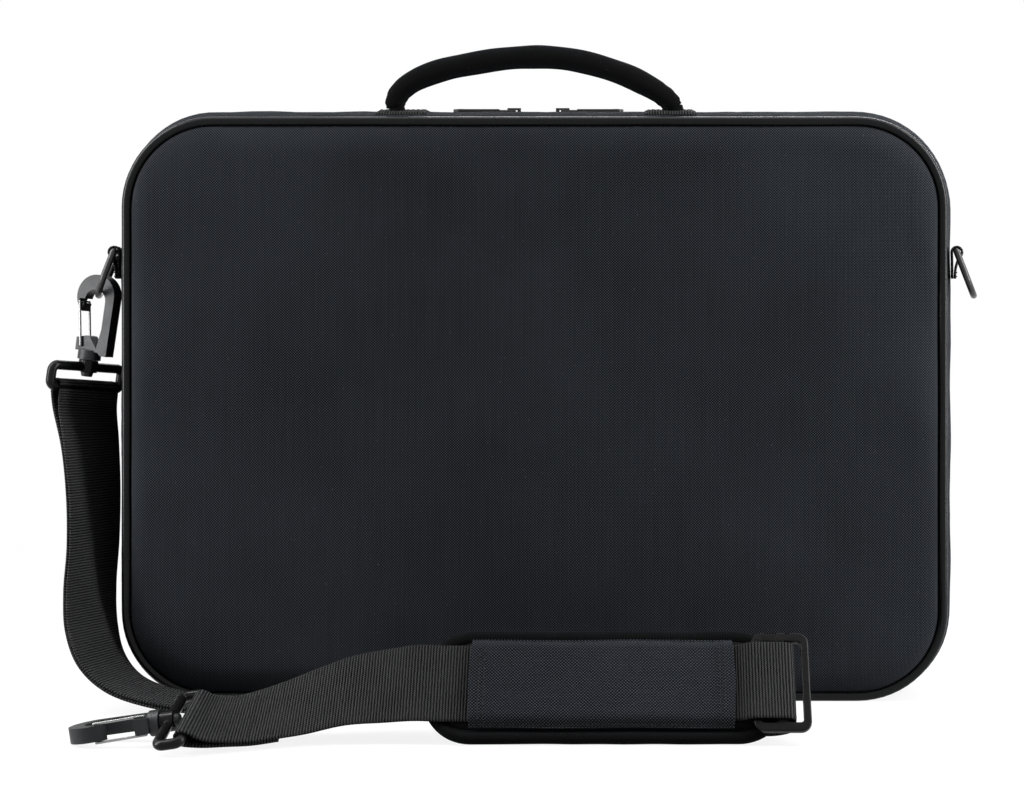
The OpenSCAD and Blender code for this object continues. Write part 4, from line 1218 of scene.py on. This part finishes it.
# %% Linings
inside = (CASE_W - 15.2, CASE_H - 15.2, CORNER_R - 7.6, 7.6)
lining = plate("rear_lining_cloth", *inside, REAR_Y + 3.7, REAR_Y + 7.2, 2.2, puff=0.6, wave=0.35)
finish_piece(lining, "rear_half", "trim_fabric", LINING, "rear_lining")
lining = plate("lid_lining_cloth", *inside, LID_Y - 3.7, LID_Y - 5.9, 1.2, wave=0.15)
finish_piece(lining, "lid_half", "trim_fabric", LINING, "lid_lining")
print("linings made")

# %% Paper pocket
def paper_pocket():
    """A cloth front that curves back to the lining at its sides and bottom."""
    w, low, high, r = CASE_W - 60, 10.8, 169.6, 20.0
    back, face = LID_Y - 6.25, LID_Y - 12.0
    heights = [low + up for up in (0, 0.5, 1.8, 4, 8, 14, 22)] + list(np.linspace(low + 34, high, 16))
    rings = []
    for z in heights:
        rise = z - low
        half = w / 2 - (r - math.sqrt(max(r * r - (r - rise) ** 2, 0)) if rise < r else 0.0)
        foot = min(rise / 5.0, 1.0)
        foot = math.sqrt(1 - (1 - foot) ** 2)
        ring = []
        for k in range(61):
            u = -1 + 2 * k / 60
            u = math.copysign(1 - (1 - abs(u)) ** 1.6, u)
            rim = min((1 - abs(u)) * half / 5.0, 1.0)
            rim = math.sqrt(1 - (1 - rim) ** 2)
            deep = (back - face) * foot * rim
            slack = 0.35 * noise.noise(Vector((u * 4, z * 0.03, 1.0))) * foot * rim
            gather = (0.25 if rise > 150 else 0.0) * math.sin(u * 50) * rim
            ring.append((u * half, back - deep - slack + gather, z))
        rings.append(ring)
    made = skin("paper_pocket_cloth", rings, wrap=False, flat_uv=True)
    thicken(made, 0.9)
    return made


made = paper_pocket()
finish_piece(made, "lid_half", "trim_fabric", SHELL, "organiser_pocket")
line = [(x, LID_Y - 11.75, 167.6) for x in np.linspace(-168.5, 168.5, 80)]
hem = sweep("paper_pocket_hem", line, lambda t: band(6.4, 1.7), side=(0, 0, 1))
finish_piece(hem, "lid_half", "trim_fabric", KNITTED)
seams = [walk((-168, LID_Y - 12.55, 165.4), (168, LID_Y - 12.55, 165.4), (0, -1, 0), 60)]
stitches("paper_pocket_stitches", seams, "lid_half", pitch=3.2)
print("paper pocket made")

# %% Laptop straps
STRAP_Y = {-1: ZIP_Y - 16, 1: ZIP_Y - 17.9}


def laptop_strap(name, side, y, node):
    start = CASE_W / 2 + swell(y) - 3.1
    xs = [start, start - 3, 170, 120, 70, 30, 0, -20, -32, -40, -46, -51]
    route = [[side * x, y + 0.5 * math.sin(x * 0.03), CASE_H / 2, 90, 90] for x in xs]
    places = finer(route, 3.0)[:, :3]
    tip = -side * 51.0

    def section(t):
        x = places[int(round(t * (len(places) - 1)))][0]
        near = max(0.0, 19 - abs(tip - x))
        return band(38 * math.sqrt(max(1 - (near / 19.6) ** 2, 0.02)), 1.5)

    return finish_piece(sweep(name, places, section, side=(0, 0, 1)), "rear_half", "webbing", WEBBING, node)


laptop_strap("laptop_web_left", -1, STRAP_Y[-1], "laptop_strap_left")
laptop_strap("laptop_web_right", 1, STRAP_Y[1], "laptop_strap_right")
seams = [walk((side * x, y + 0.82, CASE_H / 2 - 17), (side * x, y + 0.82, CASE_H / 2 + 17), (0, 1, 0))
         for side, y in STRAP_Y.items() for x in (199, 192)]
stitches("laptop_web_stitches", seams, "rear_half", pitch=2.6)
print("laptop straps made")

# %% [markdown]
# The strip along the fold is one piece of cloth sewn to both halves.

# %% Hinge strip
def hinge_cloth():
    rings = []
    for i in range(61):
        x = -148 + 296 * i / 60
        upper = [(x, ZIP_Y - 11.6 + 17.2 * k / 24, 3.9 + 0.2 * noise.noise(Vector((x * 0.1, k * 0.2, 0))))
                 for k in range(25)]
        rings.append(upper + [(x, y, z - 0.9) for x, y, z in upper[::-1]])
    made = skin("hinge_cloth", rings, ends=True)
    made.data.materials.append(SHELL)
    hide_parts("hinge_strip")
    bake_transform(made)
    return made


hinge_cloth()
print("hinge strip made")

# %% [markdown]
# ## The shoulder pad
# The pad is a thin foam cushion in smooth cloth, with a soft knitted binding round its rim. It leans
# against its own strap on the floor. A cloth simulation inflates the cushion a little, which gives the
# full middle and the pulled-in rim of a sewn pad. The simulated shape is held behind the webbing.

# %% Cushion
def in_pad(x, y, z):
    c, s = math.cos(PAD_LEAN), math.sin(PAD_LEAN)
    return (x, PAD_Y + y * c - z * s, PAD_Z + y * s + z * c)


def out_of_pad(p):
    """The pad's own x, y, z of a place in mm."""
    c, s = math.cos(PAD_LEAN), math.sin(PAD_LEAN)
    y, z = p[1] - PAD_Y, p[2] - PAD_Z
    return (p[0], y * c + z * s, -y * s + z * c)


def pad_outline(inset, **counts):
    return [(x + PAD_X, z - PAD_W / 2, nx, nz)
            for x, z, nx, nz in outline(inset, PAD_L, PAD_W, 22.0, 0.0, **counts)]


def cushion():
    rings = []
    cuts = [(24, -PAD_T), (18, -PAD_T), (12, -7.4), (8, -6.6), (5.2, -5.2), (4.2, -3.6), (4.2, -1.8),
            (5.2, -0.8), (8, -0.3), (12, -0.1), (18, -0.05), (24, -0.05)]
    for inset, z in cuts:
        rings.append([in_pad(x, y, z) for x, y, _, _ in pad_outline(inset, long=40, tall=6, turn=8)])
    return skin("pad_foam", rings, ends=True)


def inflate(made, voxel, pressure, cap, frames=16):
    """Remeshes a piece, blows it up a little with Cloth, and keeps each point within cap mm."""
    remesh = made.modifiers.new("even", "REMESH")
    remesh.mode, remesh.voxel_size, remesh.use_smooth_shade = "VOXEL", voxel * mm, True
    bake(made)
    before = np.array([v.co for v in made.data.vertices])
    soft = made.modifiers.new("cloth", "CLOTH")
    soft.settings.quality = 6
    soft.settings.use_pressure = True
    soft.settings.uniform_pressure_force = pressure
    soft.settings.tension_stiffness = soft.settings.compression_stiffness = 25
    soft.settings.bending_stiffness = 1.5
    soft.settings.effector_weights.gravity = 0
    soft.collision_settings.use_collision = False
    soft.point_cache.frame_start, soft.point_cache.frame_end = 1, frames
    for step in range(1, frames + 1):
        scene.frame_set(step)
    bake(made)
    scene.frame_set(1)
    after = np.array([v.co for v in made.data.vertices])
    move = after - before
    far = np.linalg.norm(move, axis=1, keepdims=True)
    after = before + move * np.minimum(1, cap * mm / np.maximum(far, 1e-9))
    made.data.vertices.foreach_set("co", after.ravel())
    print(f"{made.name}: moved up to {far.max() / mm:.1f} mm before the cap of {cap} mm")
    return made


foam = cushion()
inflate(foam, 3.2, 4.0, 2.5)
for v in foam.data.vertices:
    x, y, z = out_of_pad(np.array(v.co) / mm)
    v.co = Vector(in_pad(x, y, min(z, 0.1))) * mm
finer_mesh = foam.modifiers.new("subdivision", "SUBSURF")
finer_mesh.levels = finer_mesh.render_levels = 1
# Its first colour is painted shade for the knit's hollows.
PAD_CLOTH = cloth("pad_cloth", KNIT, shade(0.002), shade(0.009), bump=0.0002, by="Object", size=30.0,
                  Loop=0.0009)
for face in foam.data.polygons:
    face.use_smooth = True
finish_piece(foam, "rear_half", "pad_foam", PAD_CLOTH, "pad_cushion")
print("cushion:", len(foam.data.polygons), "faces")

# %% [markdown]
# The binding is a folded knit band that grips the rim. Sewing pulls it in unevenly, so its edge waves.
# The sleeve is a flat piece of the case's own weave over the webbing: turned under and double-stitched
# at both ends, and sewn down along its long sides.

# %% Binding and sleeve
def binding():
    rings = []
    for x, y, nx, ny in pad_outline(2.9, long=120, tall=16, turn=14):
        soft = noise.noise(Vector((x * 0.05, y * 0.05, 2.0)))
        ring = []
        for k in range(18):
            a = 2 * math.pi * k / 18
            wide = 3.1 if math.cos(a) > 0 else 3.6
            out = wide * math.cos(a) + 0.35 * soft
            up = (2.45 + 0.18 * soft) * math.sin(a) * (1.0 if math.cos(a) > -0.4 else 0.9)
            ring.append(in_pad(x + nx * out, y + ny * out, -2.4 + up))
        rings.append(ring)
    return skin("pad_binding_knit", rings, loop=True)


finish_piece(binding(), "rear_half", "trim_fabric", KNITTED, "pad_binding")
SLEEVE_X, SLEEVE_L, SLEEVE_W = 34.8, 120.0, 44.0


def sleeve_top(x, y):
    """The height of the sleeve's face over the pad."""
    q = abs(y) / (SLEEVE_W / 2)
    end = SLEEVE_L / 2 - abs(x - SLEEVE_X)
    rise = 3.7 * (1 - max(q - 0.8, 0) / 0.2) ** 0.7 if q > 0.8 else 3.7
    hem = 0.35 if end < 7.5 else 0.0
    soft = 0.25 * noise.noise(Vector((x * 0.04, y * 0.06, 4.0)))
    return 1.15 + (rise - 1.15 + hem + soft) * min(1.0, (1 - q) * 14)


def sleeve():
    rings = []
    hem = [52.2, 52.8, 55, 58, 59.6, 60]
    xs = [-x for x in hem[::-1]] + list(np.linspace(-48, 48, 34)) + hem
    for x in xs:
        x += SLEEVE_X
        drift = 0.35 * noise.noise(Vector((x * 0.03, 0.0, 9.0)))
        top, under = [], []
        for k in range(33):
            y = SLEEVE_W / 2 * math.sin(math.pi / 2 * (-1 + 2 * k / 32))
            z = sleeve_top(x, y)
            bow = 0.5 * math.cos(y * 0.14) * (1 if x > SLEEVE_X else -1) * (abs(x - SLEEVE_X) > 55)
            top.append(in_pad(x + bow, y + drift, z))
            under.append(in_pad(x + bow, y + drift, max(z - 1.0, 0.2)))
        rings.append(top + under[::-1])
    return skin("pad_sleeve_cloth", rings, ends=True)


finish_piece(sleeve(), "rear_half", "shell_fabric", PAD_WEAVE, "pad_sleeve")
c, s = math.cos(PAD_LEAN), math.sin(PAD_LEAN)
seams = []
for x in (-53.4, -55.6, 53.4, 55.6):
    x += SLEEVE_X
    points = [in_pad(x, y, sleeve_top(x, y) + 0.05) for y in np.linspace(-19.5, 19.5, 14)]
    seams.append((points, [(0, -s, c)] * 14))
for y in (-20.9, 20.9):
    points = [in_pad(x, y, sleeve_top(x, y) + 0.05) for x in np.linspace(SLEEVE_X - 58, SLEEVE_X + 58, 40)]
    seams.append((points, [(0, -s, c)] * 40))
stitches("pad_sleeve_stitches", seams, "rear_half", pitch=2.2, thread=0.45, height=0.15)
print("pad dressed")

# %% [markdown]
# ## Hard parts
# The hooks, loops, rings, gates, sliders and pulls keep their exact shapes. Moulded and cast edges are
# never sharp, so each part is welded, gets a small bevel and smooth shading, and then its finish.

# %% Finishes of the hard parts
def dress(node, finish, bevel, segments=2):
    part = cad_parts[node]
    weld = part.modifiers.new("weld", "WELD")
    weld.merge_threshold = 0.002 * mm
    if bevel:
        rounded = part.modifiers.new("rounded_edges", "BEVEL")
        rounded.width, rounded.segments = bevel * mm, segments
        rounded.limit_method, rounded.angle_limit = "ANGLE", math.radians(38)
        rounded.use_clamp_overlap = True
        rounded.harden_normals = False
    part.data.materials.clear()
    part.data.materials.append(finish)
    for face in part.data.polygons:
        face.use_smooth = True
    even = part.modifiers.new("even_light", "WEIGHTED_NORMAL")
    even.keep_sharp = False


for node in ("hook_a", "hook_b"):
    dress(node, PLASTIC, 0.5, 3)
for node in ("loop_a", "loop_b"):
    dress(node, GLOSSY, 0.3)
dress("strap_slider", GLOSSY, 0.7, 3)
for node in ("gate_a", "gate_b"):
    dress(node, BRIGHT_WIRE, 0.0)
for node in ("ring_left", "ring_right"):
    dress(node, BLACK_WIRE, 0.0)
for node in ("slider_left", "slider_right", "pull_left", "pull_right", "pocket_slider", "pocket_pull"):
    dress(node, ZIP_METAL, 0.25)
print("hard parts dressed")
